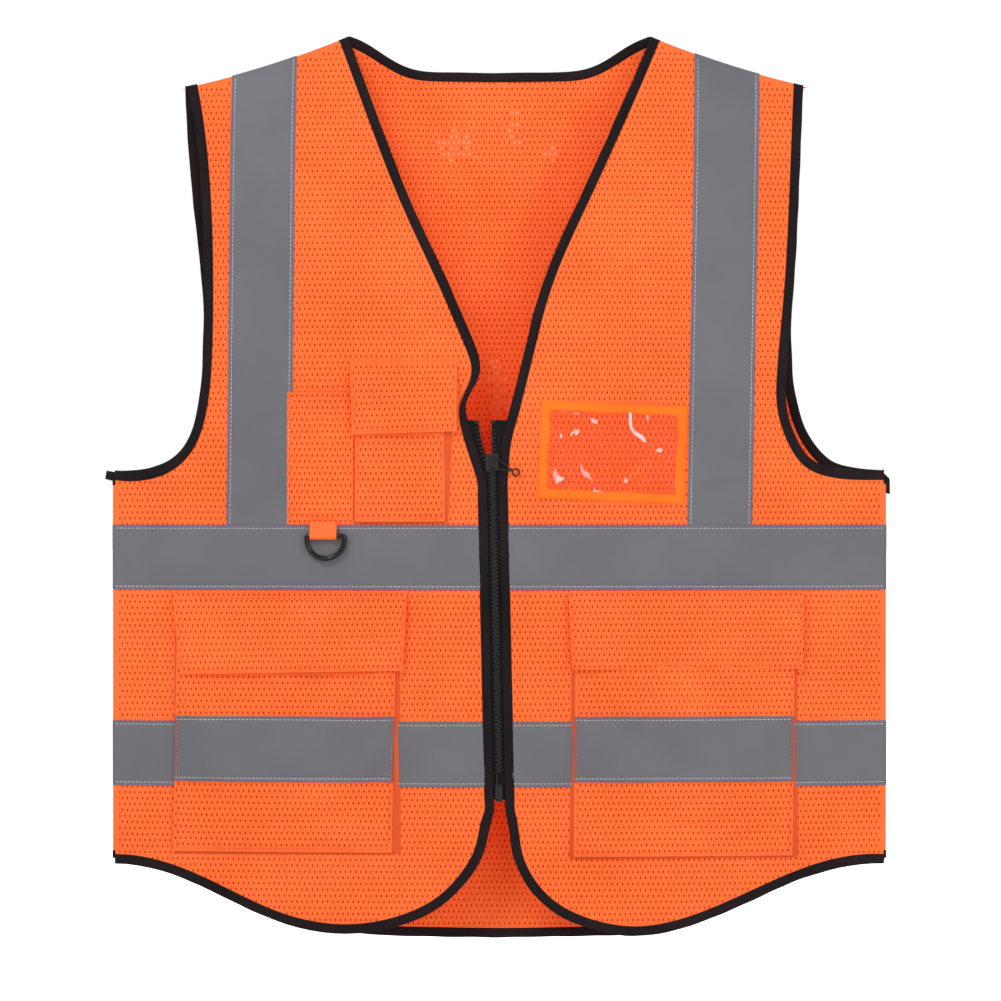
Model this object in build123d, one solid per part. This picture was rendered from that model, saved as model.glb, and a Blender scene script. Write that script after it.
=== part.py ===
from build123d import *
import math
import os

# High visibility vest, front closed by a zip, seen as it lies when laid out flat.
# Millimetres. +X is the wearer's left, -Y is the front, +Z is up.
# Heights (z) are measured up from the lowest point of the back hem, and every
# part is lowered by SHOULDER_POINT when it is written, so that the origin is on
# the centre line, level with the neck ends of the shoulder seams.
# An outline point is (out, z): out is the distance from the centre line towards
# its own side of the body.

os.makedirs("parts", exist_ok=True)

RIGHT = -1
LEFT = 1
FRONT = -1
BACK = 1

# ---------------------------------------------------------------- driving sizes
SHOULDER_POINT = 691.0
SIDE_SEAM = 294.0
BELLY = 26.0
BACK_SWELL = 18.0
SHOULDER_ROLL = 40.0
SHOULDER_FALL = 0.42
SHOULDER_CURVE = 0.0008
NECK_END = 115.5
NECK_EASE = 25.0
SEAM_GAP = 0.4

FABRIC = 0.9
TAPE = 0.45
TAPE_WIDTH = 49.5
PLY_GAP = 0.05
BINDING_WIDTH = 7.2
BINDING_THICK = 1.5
BAG_THICK = 3.0
PATCH_THICK = 0.6

# Centre line of each shoulder tape: distance out at the shoulder and at its foot.
SHOULDER_TAPE = {RIGHT: (179.2, 183.0), LEFT: (174.6, 167.5)}

# The smooth sheets that every layer of cloth is cut from: first place, step and count.
SHEET_ROWS = (-12, 33, 23)
SHEET_COLUMNS = (-310, 31, 21)
CUT_DEPTH = 90.0
BAND_STEP = 9.0

# Distance of each layer's inner face from the panel's inner face.
ON_PANEL = FABRIC + PLY_GAP
ON_TAPE = ON_PANEL + TAPE + PLY_GAP
ON_BAG = ON_TAPE + BAG_THICK + PLY_GAP
ON_LOOPS = ON_BAG + PATCH_THICK + PLY_GAP
ON_HOOKS = ON_LOOPS + PATCH_THICK + PLY_GAP

UPPER_TAPE_LOW = 268.0
LOWER_TAPE_LOW = 118.5
POCKET_TAPE_RISE = 4.0
POCKET_TAPE_INSET = 0.5

# ---------------------------------------------- pockets, as (out, out, low, high)
GUSSET = 3.0
PEN_POCKET = (111.5, 161, 318, 418)
PHONE_POCKET = (40.5, 111, 318, 434)
PHONE_FLAP = (32.2, 113.3, 387, 442)
LOWER_POCKET = {RIGHT: (80, 247, 67, 262), LEFT: (55.7, 225.4, 64, 262)}
LOWER_FLAP = {RIGHT: (70, 249, 206, 267.5), LEFT: (52.7, 231.4, 208, 267.5)}
LOWER_PATCH_SIZE = (60.0, 22.0)
PHONE_PATCH_SIZE = (40.0, 20.0)
PATCH_RISE = 7.0
ID_CENTRE = (86.0, 372.7)
ID_SIZE = (112.0, 75.0)
ID_BORDER = 8.3
ID_TILT = 2.3
VINYL = 0.4

# ------------------------------------------------------------- D-ring sizes
RING_CENTRE = 131.8
RING_HALF = 14.4
RING_WIRE = 1.9
RING_SIDE = 2.6
RING_Z = 309.0
LOOP_BORE = 2.1
LOOP_WALL = 0.7
LOOP_STAND_OFF = 1.0
LOOP_WIDTH = 20.0
LOOP_TAIL = 9.0
LOOP_OFFSET = 2.0

# ------------------------------------------------------------------- zip sizes
ZIP_BOTTOM = 110.0
ZIP_TOP = 397.0
ZIP_LEAN = 1.25
ZIP_EDGE_LOW = 101.0
ZIP_EDGE_HIGH = 350.0
ZIP_HALF_GAP = 4.2
ZIP_TAPE_WIDTH = 12.0
ZIP_TAPE_THICK = 0.5
ZIP_TAPE_TAIL = 6.0
ZIP_TAPE_LOBE = 5.0
ZIP_TAPE_EASE = 0.35
CHAIN_SINK = 0.4

# A tooth reaches out to TOOTH_BASE on its tape and TOOTH_REACH past the centre line.
TOOTH_PITCH = 3.0
TOOTH_START = 130.0
TOOTH_THICK = 3.0
TOOTH_BASE = 2.8
TOOTH_REACH = 1.4
TOOTH_NECK = 0.3
TOOTH_BASE_HALF = 0.76
TOOTH_WAIST_HALF = 0.45
TOOTH_HEAD_HALF = 0.68
THROAT = 362.0
THROAT_GAP = 10.0
STOP_SIZE = (3.4, 3.6, 2.4)
STOP_DROP = 1.5
STOP_OUT = 1.0

# The box and pin at the foot of the zip; bores are square and a little wider than the pin.
RETAINER_SIZE = (5.6, 4.4, 13.0)
RETAINER_RISE = 4.0
RETAINER_SHIFT = 0.4
PIN_OUT = 1.9
PIN_WIDTH = 1.3
PIN_LENGTH = 18.0
PIN_BORE = 1.6
TAPE_SLOT = 0.8
SLOT_OUT = 3.0
BORE_FLOOR = 2.0
CUT_PAST = 0.1

SLIDER_Z = 365.0
SLIDER_LENGTH = 13.0
SLIDER_FOOT_HALF = 4.8
SLIDER_TOP_HALF = 5.4
PLATE_INNER = 2.25
PLATE_OUTER = 1.65
PLATE_THICK = 1.2
POST_OUT = 2.15
POST_SIZE = (1.1, 2.5)
RAIL_OUT = 4.45
RAIL_SIZE = (0.7, 1.32, 3.3)
CROWN_SIZE = (1.2, 3.0, 7.2)
CROWN_HOLE = 1.9
CROWN_HOLE_LENGTH = 5.8
BITE = 0.05
PULLER_WIRE = 0.6
PULLER_HALF = 5.0
PULLER_LENGTH = 17.0
PULLER_EYE = 2.6
PULLER_TURN = 66.0

# ------------------------------------------------------------ panel outlines
NECK_EDGE = {
    RIGHT: [(115.5, 690), (91.3, 624), (67.8, 564), (39.8, 503), (20, 457), (14.2, 434),
            (18.6, 420), (24.4, 405), (23, 396), (19.3, 382), (14, 366)],
    LEFT: [(115.5, 690), (87.5, 624), (60.2, 564), (33.7, 503), (20.8, 457), (15.5, 435),
           (11.7, 420), (8, 405), (4.5, 393), (1.5, 380), (0, 366)],
}
HEM_EDGE = {
    RIGHT: [(8, 86), (12, 69), (22, 51), (42, 30), (74, 14), (118, 7), (166, 15), (227, 42)],
    LEFT: [(7.2, 86), (10, 68), (19, 47), (38, 26), (66, 12), (100, 5.5), (152, 15), (228, 47)],
}
FRONT_ARMHOLE = {
    RIGHT: [(238.3, 653), (233, 624), (227, 564), (225.3, 500), (226.5, 440), (232, 398),
            (239, 380), (252, 366), (268, 359.5)],
    LEFT: [(232.2, 653), (230, 611), (227.4, 551), (223.5, 488), (218.6, 432), (219.3, 404),
           (226, 384), (237, 368), (254, 361)],
}
BACK_ARMHOLE = {
    RIGHT: [(240.4, 653), (238.5, 611), (233, 549), (226.5, 480), (227, 436), (233, 397),
            (240, 380), (253, 367), (270, 360.5)],
    LEFT: [(232.2, 653), (230, 611), (227.4, 551), (224.2, 490), (225, 432), (232.2, 397),
           (243, 377), (255, 366), (272, 361)],
}
UNDERARM = (SIDE_SEAM, 359.0)
SIDE_HEM = (SIDE_SEAM, 58.5)
BACK_NECK = [(0, 664.5), (45, 665), (68, 667.5), (84, 675), (99, 684), (115.5, 691)]
BACK_HEM = [(0, 0), (60, 1), (112, 4), (182, 26), (243, 50)]
SHOULDER_MIDDLE = (170, 670)


# -------------------------------------------------------------- cloth surfaces
def shoulder_height(x):
    """Height of the shoulder seam above the hem, where front and back meet."""
    along = math.hypot(x, NECK_EASE) - NECK_END
    return SHOULDER_POINT - SHOULDER_FALL * along + SHOULDER_CURVE * along**2


def cloth_y(face, x, z):
    """How far forward or back the inner face of the cloth stands at (x, z)."""
    swell = BELLY if face == FRONT else BACK_SWELL
    across = 1 - (x / (SIDE_SEAM + 2)) ** 2
    below = 1 - math.exp((z - shoulder_height(x)) / SHOULDER_ROLL)
    return face * (SEAM_GAP + swell * across * below)


def even_places(first, step, count):
    return [first + step * i for i in range(count)]


def cloth_sheet(face):
    """A smooth sheet through the whole front or back, larger than the vest."""
    rows = even_places(*SHEET_ROWS)
    columns = even_places(*SHEET_COLUMNS)
    points = [[Vector(x, cloth_y(face, x, z), z) for x in columns] for z in rows]
    return Face.make_surface_from_array_of_points(points, tol=0.02)


SHEET = {FRONT: cloth_sheet(FRONT), BACK: cloth_sheet(BACK)}


def layer(outline, face, lift, thick):
    """The flat outline cut from cloth: curved like the body, one ply thick."""
    start = Pos(0, face * lift, 0) * SHEET[face]
    slab = Solid.extrude(start, Vector(0, face * thick, 0))
    cutter = extrude(outline, CUT_DEPTH, dir=(0, 1, 0), both=True)
    return Part(children=(slab & cutter).solids())


# ------------------------------------------------------------- flat geometry
def point(side, out, z):
    return Vector(side * out, 0, z)


def curve(side, outline):
    return Spline(*[point(side, out, z) for out, z in outline])


def flat(*edges):
    """A flat face in the XZ plane inside a closed ring of edges."""
    return Face(Wire(list(edges)))


def quad(side, corners):
    return flat(*Polyline(*[point(side, out, z) for out, z in corners], close=True).edges())


def box_face(side, out_low, out_high, z_low, z_high):
    corners = [(out_low, z_low), (out_high, z_low), (out_high, z_high), (out_low, z_high)]
    return quad(side, corners)


def zip_line(z):
    """X of the middle of the zip at height z: it leans slightly to the right."""
    return -(z - ZIP_BOTTOM) * math.tan(math.radians(ZIP_LEAN))


def front_edge(side):
    """The free edge of one front: down the neck, along the zip, round the hem."""
    zip_low = (side * zip_line(ZIP_EDGE_LOW) + ZIP_HALF_GAP, ZIP_EDGE_LOW)
    zip_high = (side * zip_line(ZIP_EDGE_HIGH) + ZIP_HALF_GAP, ZIP_EDGE_HIGH)
    neck = curve(side, NECK_EDGE[side] + [zip_high])
    straight = Line(point(side, *zip_high), point(side, *zip_low))
    hem = curve(side, [zip_low] + HEM_EDGE[side] + [SIDE_HEM])
    return [neck, straight, hem]


def armhole_edge(side, face):
    outline = FRONT_ARMHOLE if face == FRONT else BACK_ARMHOLE
    return curve(side, outline[side] + [UNDERARM])


def back_neck_edge():
    half = BACK_NECK[1:]
    points = [point(RIGHT, *p) for p in reversed(half)] + [point(LEFT, *p) for p in BACK_NECK]
    return Spline(*points)


def back_hem_edge():
    half = BACK_HEM[1:] + [SIDE_HEM]
    points = [point(RIGHT, *p) for p in reversed(half)] + [point(LEFT, *p) for p in BACK_HEM]
    return Spline(*points, point(LEFT, *SIDE_HEM))


def shoulder(side, neck_end, tip):
    return Spline(neck_end, point(side, *SHOULDER_MIDDLE), tip)


def strip(edges, width, turn):
    """The band of one width along a run of edges; turn picks the side it lies on."""
    near = []
    far = []
    for edge in edges:
        count = max(2, round(edge.length / BAND_STEP))
        for i in range(count + 1):
            spot = edge @ (i / count)
            if near and (spot - near[-1]).length < BAND_STEP / 18:
                continue
            along = edge % (i / count)
            near.append(spot)
            far.append(spot + Vector(-along.Z, 0, along.X) * width * turn)
    return flat(*edges, Line(near[-1], far[-1]), Spline(*reversed(far)), Line(far[0], near[0]))


def front_outline(side):
    edges = front_edge(side)
    arm = armhole_edge(side, FRONT)
    seam = Line(point(side, *SIDE_HEM), point(side, *UNDERARM))
    return flat(*edges, seam, arm, shoulder(side, edges[0] @ 0, arm @ 0))


def back_outline():
    arms = {side: armhole_edge(side, BACK) for side in (RIGHT, LEFT)}
    neck = back_neck_edge()
    seams = [Line(point(side, *SIDE_HEM), point(side, *UNDERARM)) for side in arms]
    tops = [shoulder(RIGHT, neck @ 0, arms[RIGHT] @ 0), shoulder(LEFT, neck @ 1, arms[LEFT] @ 0)]
    return flat(neck, tops[1], arms[LEFT], seams[1], back_hem_edge(), seams[0], arms[RIGHT], tops[0])


# ------------------------------------------------------------------ writing
def save(name, shape):
    """Write one node, lowered so that the origin is level with the shoulder points."""
    solids = [Pos(0, 0, -SHOULDER_POINT) * solid for solid in shape.solids()]
    export_step(Compound(children=solids, label=name), f"parts/{name}.step")


def side_name(side):
    return "right" if side == RIGHT else "left"


# ------------------------------------------------------------- bindings, panels
def make_front_cloth(side):
    """One front: mesh panel, one binding round its free edge, one at the armhole."""
    name = side_name(side)
    bound_edges = {
        f"{name}_front_edge_binding": (front_edge(side), side),
        f"{name}_front_armhole_binding": ([armhole_edge(side, FRONT)], -side),
    }
    panel = front_outline(side)
    for binding, (edges, turn) in bound_edges.items():
        save(binding, layer(strip(edges, BINDING_WIDTH, turn), FRONT, 0, BINDING_THICK))
        panel = panel - strip(edges, BINDING_WIDTH + PLY_GAP, turn)
    save(f"{name}_front_panel", layer(panel, FRONT, 0, FABRIC))
    return panel


def make_back_cloth():
    """The back: mesh panel with neck, hem and two armhole bindings."""
    bound_edges = {
        "back_neck_binding": (back_neck_edge(), -1),
        "back_hem_binding": (back_hem_edge(), 1),
        "right_back_armhole_binding": (armhole_edge(RIGHT, BACK), 1),
        "left_back_armhole_binding": (armhole_edge(LEFT, BACK), -1),
    }
    panel = back_outline()
    for binding, (edge, turn) in bound_edges.items():
        save(binding, layer(strip([edge], BINDING_WIDTH, turn), BACK, 0, BINDING_THICK))
        panel = panel - strip([edge], BINDING_WIDTH + PLY_GAP, turn)
    save("back_panel", layer(panel, BACK, 0, FABRIC))
    return panel


# ------------------------------------------------------------- reflective tape
def tape_band(low):
    """A level band of tape, wider than the vest."""
    return box_face(LEFT, -SIDE_SEAM, SIDE_SEAM, low, low + TAPE_WIDTH)


def shoulder_tape(side):
    """The upright tape, from the upper level tape to above the shoulder seam."""
    top, foot = SHOULDER_TAPE[side]
    half = TAPE_WIDTH / 2
    foot_z = UPPER_TAPE_LOW + TAPE_WIDTH + PLY_GAP
    above = SHOULDER_POINT + 10
    corners = [(foot - half, foot_z), (foot + half, foot_z), (top + half, above), (top - half, above)]
    return quad(side, corners)


def make_tapes(prefix, panel, face, sides):
    for side in sides:
        name = f"{side_name(side)}_{prefix}_shoulder_tape"
        save(name, layer(panel & shoulder_tape(side), face, ON_PANEL, TAPE))
    start = f"{side_name(sides[0])}_{prefix}" if len(sides) == 1 else prefix
    for level, low in (("upper", UPPER_TAPE_LOW), ("lower", LOWER_TAPE_LOW)):
        save(f"{start}_{level}_tape", layer(panel & tape_band(low), face, ON_PANEL, TAPE))


# ------------------------------------------------------------------- pockets
def make_bag(name, side, pocket, gusset=True):
    """A pocket: the bag lying flat, and the folded gusset round its sides and foot."""
    out_low, out_high, low, high = pocket
    if gusset:
        inner = box_face(side, out_low + GUSSET, out_high - GUSSET, low + GUSSET, high + GUSSET)
        ring = box_face(side, out_low, out_high, low, high) - inner
        save(f"{name}_gusset", layer(ring, FRONT, ON_TAPE, BAG_THICK))
        rim = GUSSET + PLY_GAP
        out_low, out_high, low = out_low + rim, out_high - rim, low + rim
    save(name, layer(box_face(side, out_low, out_high, low, high), FRONT, ON_TAPE, BAG_THICK))


def make_flap(name, side, flap, patch_size):
    """A flap over a pocket, and the loop and hook patches that hold it down."""
    out_low, out_high, low, high = flap
    middle = (out_low + out_high) / 2
    half = patch_size[0] / 2
    foot = low + PATCH_RISE
    patch = box_face(side, middle - half, middle + half, foot, foot + patch_size[1])
    save(f"{name}_flap", layer(box_face(side, *flap), FRONT, ON_HOOKS, FABRIC))
    save(f"{name}_hook_patch", layer(patch, FRONT, ON_LOOPS, PATCH_THICK))
    save(f"{name}_loop_patch", layer(patch, FRONT, ON_BAG, PATCH_THICK))


def make_lower_pocket(side):
    name = f"{side_name(side)}_lower_pocket"
    make_bag(name, side, LOWER_POCKET[side])
    make_flap(name, side, LOWER_FLAP[side], LOWER_PATCH_SIZE)
    out_low, out_high = LOWER_POCKET[side][:2]
    low = LOWER_TAPE_LOW + POCKET_TAPE_RISE
    inset = POCKET_TAPE_INSET
    across = box_face(side, out_low + inset, out_high - inset, low, low + TAPE_WIDTH)
    save(f"{name}_tape", layer(across, FRONT, ON_BAG, TAPE))


def make_chest_pockets():
    make_bag("pen_pocket", RIGHT, PEN_POCKET, gusset=False)
    make_bag("phone_pocket", RIGHT, PHONE_POCKET)
    make_flap("phone_pocket", RIGHT, PHONE_FLAP, PHONE_PATCH_SIZE)


def make_id_pocket():
    """A clear window in a bound frame, sewn a little out of level."""
    out, z = ID_CENTRE
    wide, high = ID_SIZE

    def sheet(border):
        face = box_face(LEFT, border - wide / 2, wide / 2 - border, border - high / 2, high / 2 - border)
        return Pos(out, 0, z) * Rot(0, ID_TILT, 0) * face

    frame = sheet(0) - sheet(ID_BORDER)
    save("id_pocket_frame", layer(frame, FRONT, ON_TAPE, FABRIC))
    save("id_pocket_window", layer(sheet(ID_BORDER + PLY_GAP), FRONT, ON_TAPE, VINYL))


# --------------------------------------------------------------------- D-ring
def ring_seat():
    """The D-ring's bar: its place, turned to lie along the front of the cloth."""
    x = RIGHT * RING_CENTRE
    here = cloth_y(FRONT, x, RING_Z)
    slope = cloth_y(FRONT, x + 1, RING_Z) - here
    stand_off = ON_TAPE + LOOP_STAND_OFF + LOOP_BORE + LOOP_WALL
    return Pos(x, here - stand_off, RING_Z) * Rot(0, 0, math.degrees(math.atan(slope)))


def rod(start, end, radius):
    """A round rod between two points, with ball ends."""
    line = Line(start, end)
    body = sweep(Plane(origin=line @ 0, z_dir=line % 0) * Circle(radius), path=line)
    return body + Pos(*start) * Sphere(radius) + Pos(*end) * Sphere(radius)


def make_d_ring():
    """A plastic D: a straight bar on top, short sides and a half round below."""
    ring = rod((-RING_HALF, 0, 0), (RING_HALF, 0, 0), RING_WIRE)
    for end in (-RING_HALF, RING_HALF):
        ring = ring + rod((end, 0, 0), (end, 0, -RING_SIDE), RING_WIRE)
    lower_half = Pos(0, 0, -20) * Box(60, 20, 40)
    bow = Rot(90, 0, 0) * Torus(RING_HALF, RING_WIRE) & lower_half
    save("d_ring", ring_seat() * (ring + Pos(0, 0, -RING_SIDE) * bow))


def make_ring_loop():
    """The fabric loop: a sleeve round the D-ring's bar and a tail up to the pocket."""
    bore = Rot(0, 90, 0) * Cylinder(LOOP_BORE, LOOP_WIDTH)
    sleeve = Rot(0, 90, 0) * Cylinder(LOOP_BORE + LOOP_WALL, LOOP_WIDTH) - bore
    tail = Pos(0, LOOP_BORE + LOOP_WALL / 2, LOOP_TAIL / 2) * Box(LOOP_WIDTH, LOOP_WALL, LOOP_TAIL)
    save("d_ring_loop", ring_seat() * Pos(-LOOP_OFFSET, 0, 0) * (sleeve + (tail - bore)))


# ------------------------------------------------------------------------ zip
CHAIN_Y = cloth_y(FRONT, 0, ZIP_BOTTOM) + CHAIN_SINK + ZIP_TAPE_THICK / 2


def throat_gap(side, z):
    """How far one row of teeth stands off the zip's centre line at height z."""
    if side == LEFT or z < THROAT:
        return 0.0
    return THROAT_GAP * math.sqrt((z - THROAT) / (ZIP_TOP - THROAT))


def chain_x(side, z, out):
    """X of a point of one half of the zip, out from its centre line."""
    return zip_line(z) + side * (out + throat_gap(side, z))


def tooth(side, z):
    """One moulded tooth: base on the tape, waist, and a head past the centre line."""
    profile = [(TOOTH_BASE, TOOTH_BASE_HALF), (TOOTH_REACH, TOOTH_BASE_HALF),
               (TOOTH_REACH, TOOTH_WAIST_HALF), (-TOOTH_NECK, TOOTH_WAIST_HALF),
               (-TOOTH_NECK, TOOTH_HEAD_HALF), (-TOOTH_REACH, TOOTH_HEAD_HALF)]
    corners = profile + [(out, -up) for out, up in reversed(profile)]
    x = chain_x(side, z, 0)
    outline = flat(*Polyline(*[(x + side * out, 0, z + up) for out, up in corners], close=True).edges())
    half = extrude(outline, TOOTH_THICK / 2, dir=(0, 1, 0), both=True)
    return Pos(0, CHAIN_Y, 0) * half


def zip_plate(outline, thick):
    """A flat zip part, centred on the chain's own plane."""
    return Pos(0, CHAIN_Y, 0) * extrude(outline, thick / 2, dir=(0, 1, 0), both=True)


def make_zip_half(side):
    """Tape, teeth and top stop of one half of the zip."""
    name = f"{side_name(side)}_zip"
    first = TOOTH_START + (0 if side == RIGHT else TOOTH_PITCH / 2)
    count = int((ZIP_TOP - TOOTH_PITCH - first) / TOOTH_PITCH)
    teeth = [tooth(side, first + i * TOOTH_PITCH) for i in range(count)]
    save(f"{name}_teeth", Compound(children=[solid for piece in teeth for solid in piece.solids()]))

    low, high = ZIP_BOTTOM - ZIP_TAPE_TAIL, ZIP_TOP + ZIP_TAPE_LOBE
    out = TOOTH_BASE + PLY_GAP
    heights = [THROAT + step for step in (1, 4, 12, 24)] + [high]
    inner = [Vector(chain_x(side, z, out + ZIP_TAPE_EASE), 0, z) for z in heights]
    outer = [spot + Vector(side * ZIP_TAPE_WIDTH, 0, 0) for spot in inner]
    foot = Vector(chain_x(side, low, out), 0, low)
    turn = Vector(chain_x(side, THROAT, out), 0, THROAT)
    across = Vector(side * ZIP_TAPE_WIDTH, 0, 0)
    tape = flat(Line(foot, turn), Spline(turn, *inner), Line(inner[-1], outer[-1]),
                Spline(*reversed(outer), turn + across), Line(turn + across, foot + across),
                Line(foot + across, foot))
    save(f"{name}_tape", zip_plate(tape, ZIP_TAPE_THICK))

    stop_z = ZIP_TOP - STOP_DROP
    save(f"{name}_top_stop", Pos(chain_x(side, stop_z, STOP_OUT), CHAIN_Y, stop_z) * Box(*STOP_SIZE))


def make_zip_bottom():
    """The box on the left tape, and the pin on the right tape that plugs into it."""
    x = zip_line(ZIP_BOTTOM)
    pin_x = x + RIGHT * PIN_OUT
    cut = RETAINER_SIZE[2] + CUT_PAST
    middle = ZIP_BOTTOM + RETAINER_RISE
    body = Pos(x - RETAINER_SHIFT, CHAIN_Y, middle) * Box(*RETAINER_SIZE)
    bore = Pos(pin_x, CHAIN_Y, middle + BORE_FLOOR) * Box(PIN_BORE, PIN_BORE, cut)
    tape_slot = Pos(x - SLOT_OUT, CHAIN_Y, middle) * Box(SLOT_OUT, TAPE_SLOT, cut)
    save("zip_retainer_box", body - bore - tape_slot)
    pin = Pos(pin_x, CHAIN_Y, ZIP_BOTTOM + PIN_LENGTH / 2) * Box(PIN_WIDTH, PIN_WIDTH, PIN_LENGTH)
    save("zip_insertion_pin", pin)


def slider_seat():
    return Pos(zip_line(SLIDER_Z), CHAIN_Y, SLIDER_Z) * Rot(0, -ZIP_LEAN, 0)


def make_slider():
    """Two plates joined by a post between the rows, short rails, and a crown in front."""
    half = SLIDER_LENGTH / 2
    front = -PLATE_INNER - PLATE_THICK
    outline = quad(LEFT, [(-SLIDER_FOOT_HALF, -half), (SLIDER_FOOT_HALF, -half),
                          (SLIDER_TOP_HALF, half), (-SLIDER_TOP_HALF, half)])
    plate = extrude(outline, PLATE_THICK, dir=(0, 1, 0))
    body = Pos(0, front, 0) * plate + Pos(0, PLATE_OUTER, 0) * plate
    post_wide, post_high = POST_SIZE
    post = Box(post_wide, PLATE_OUTER + PLATE_INNER + BITE, post_high)
    body = body + Pos(-POST_OUT, (PLATE_OUTER - PLATE_INNER) / 2, half - post_high / 2) * post
    rail_y = PLATE_OUTER - RAIL_SIZE[1] / 2 + BITE / 5
    rail_z = RAIL_SIZE[2] / 2 - half
    for side in (RIGHT, LEFT):
        body = body + Pos(side * RAIL_OUT, rail_y, rail_z) * Box(*RAIL_SIZE)
    crown = Pos(0, front - CROWN_SIZE[1] / 2 + BITE, 0) * Box(*CROWN_SIZE)
    window = Pos(0, front - CROWN_HOLE / 2 - BITE, 0) * Box(2, CROWN_HOLE, CROWN_HOLE_LENGTH)
    save("zip_slider", slider_seat() * (body + (crown - window)))


def make_puller():
    """A bent wire triangle through the crown, hanging to the left, with an eye at its tip."""
    wire = PULLER_WIRE
    pivot = slider_seat() * Pos(0, -PLATE_INNER - PLATE_THICK - BITE - CROWN_HOLE / 2, 0)
    left, right, tip = (-PULLER_HALF, 0, 0), (PULLER_HALF, 0, 0), (0, 0, -PULLER_LENGTH)
    loop = rod(left, right, wire) + rod(left, tip, wire) + rod(right, tip, wire)
    eye = Pos(0, 0, -PULLER_LENGTH - PULLER_EYE) * (Rot(90, 0, 0) * Torus(PULLER_EYE, wire))
    save("zip_puller", pivot * Rot(0, -PULLER_TURN, 0) * (loop + eye))


if __name__ == "__main__":
    back = make_back_cloth()
    make_tapes("back", back, BACK, (RIGHT, LEFT))
    for side in (RIGHT, LEFT):
        make_tapes("front", make_front_cloth(side), FRONT, (side,))
        make_lower_pocket(side)
        make_zip_half(side)
    make_chest_pockets()
    make_id_pocket()
    make_ring_loop()
    make_d_ring()
    make_zip_bottom()
    make_slider()
    make_puller()
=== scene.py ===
import math

import bmesh
import bpy
import numpy as np
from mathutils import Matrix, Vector
from mathutils.geometry import delaunay_2d_cdt


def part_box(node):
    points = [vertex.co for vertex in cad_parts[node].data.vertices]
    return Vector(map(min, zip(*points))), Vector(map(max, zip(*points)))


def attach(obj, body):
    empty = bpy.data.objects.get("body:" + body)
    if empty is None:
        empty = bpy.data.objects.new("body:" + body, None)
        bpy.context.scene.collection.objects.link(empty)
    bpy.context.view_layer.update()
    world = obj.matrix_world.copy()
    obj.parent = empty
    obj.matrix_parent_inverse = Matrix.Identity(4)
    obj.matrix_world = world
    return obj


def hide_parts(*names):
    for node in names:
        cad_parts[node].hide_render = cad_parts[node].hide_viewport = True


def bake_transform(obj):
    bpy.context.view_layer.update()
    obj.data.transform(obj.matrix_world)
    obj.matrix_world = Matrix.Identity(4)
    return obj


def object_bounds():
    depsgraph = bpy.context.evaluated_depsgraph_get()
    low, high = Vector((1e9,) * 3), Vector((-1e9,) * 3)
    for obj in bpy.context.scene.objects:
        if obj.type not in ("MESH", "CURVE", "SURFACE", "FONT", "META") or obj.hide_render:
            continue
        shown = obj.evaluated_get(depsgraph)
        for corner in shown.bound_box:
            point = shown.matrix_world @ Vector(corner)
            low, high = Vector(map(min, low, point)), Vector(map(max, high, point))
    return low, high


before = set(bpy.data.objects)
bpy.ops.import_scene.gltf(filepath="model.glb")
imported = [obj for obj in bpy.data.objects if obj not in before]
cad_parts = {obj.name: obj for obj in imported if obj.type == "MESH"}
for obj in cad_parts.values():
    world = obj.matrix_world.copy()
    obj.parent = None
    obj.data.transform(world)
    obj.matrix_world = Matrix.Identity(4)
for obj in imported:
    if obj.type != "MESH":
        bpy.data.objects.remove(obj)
cad_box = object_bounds()

# High visibility vest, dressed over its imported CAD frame. Metres, in the frame's own axes:
# +X the wearer's left, -Y the zipped front, +Z up, origin level with the shoulder points.
# Every place comes from the frame: outlines are read off the CAD nodes, and the cloth's
# curve is the CAD panels' curve, with folds and ripples added.

# ---------------------------------------------------------------- driving sizes
FRONT = -1
BACK = 1
FACES = {"front": FRONT, "back": BACK}
SIDES = {"right": -1, "left": 1}
LEVELS = ("upper", "lower")
MM = 0.001

# cloth and its knitted mesh
CLOTH = 0.5 * MM
MESH_UP = 4.55 * MM
MESH_COLUMNS = 151
HOLE_HALF_WIDE = 0.56 * MM
HOLE_HALF_TALL = 1.2 * MM
HOLE_SHAPE = [(-1, -0.5), (0, -1), (1, -0.5), (1, 0.5), (0, 1), (-1, 0.5)]
# each hole is closed half way by a thin web: dark webs are painted shade, pale ones painted light
WEB = 0.1 * MM
WEB_PAINTS = ["mesh_web", "mesh_glint"]
YOKE_SPLIT = 0.095

# reflective tape
TAPE = 0.35 * MM
STITCH_INSET = 2.6 * MM
EDGE_ROWS = 2

# thread: each stitch in section is (share of its length, rise, girth), the last two in thread sizes
THREAD = 0.28 * MM
THREAD_SIDES = 5
STITCH_START = 0.6 * MM
STITCH_LENGTH = 2.4 * MM
STITCH_PITCH = 3.2 * MM
STITCH_SECTION = [
    (0.0, -0.35, 0.45), (0.2, 0.25, 0.95), (0.5, 0.45, 1.0), (0.8, 0.25, 0.95), (1.0, -0.35, 0.45),
]

# how the cloth hangs
SHOULDER_ROLL = 40 * MM
SEAM_GAP = 0.4 * MM
FOLD_STRENGTH = 1.4
SHOULDER_ENDS = {"right": (0.1225, 0.2320), "left": (0.1225, 0.2248)}

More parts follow.
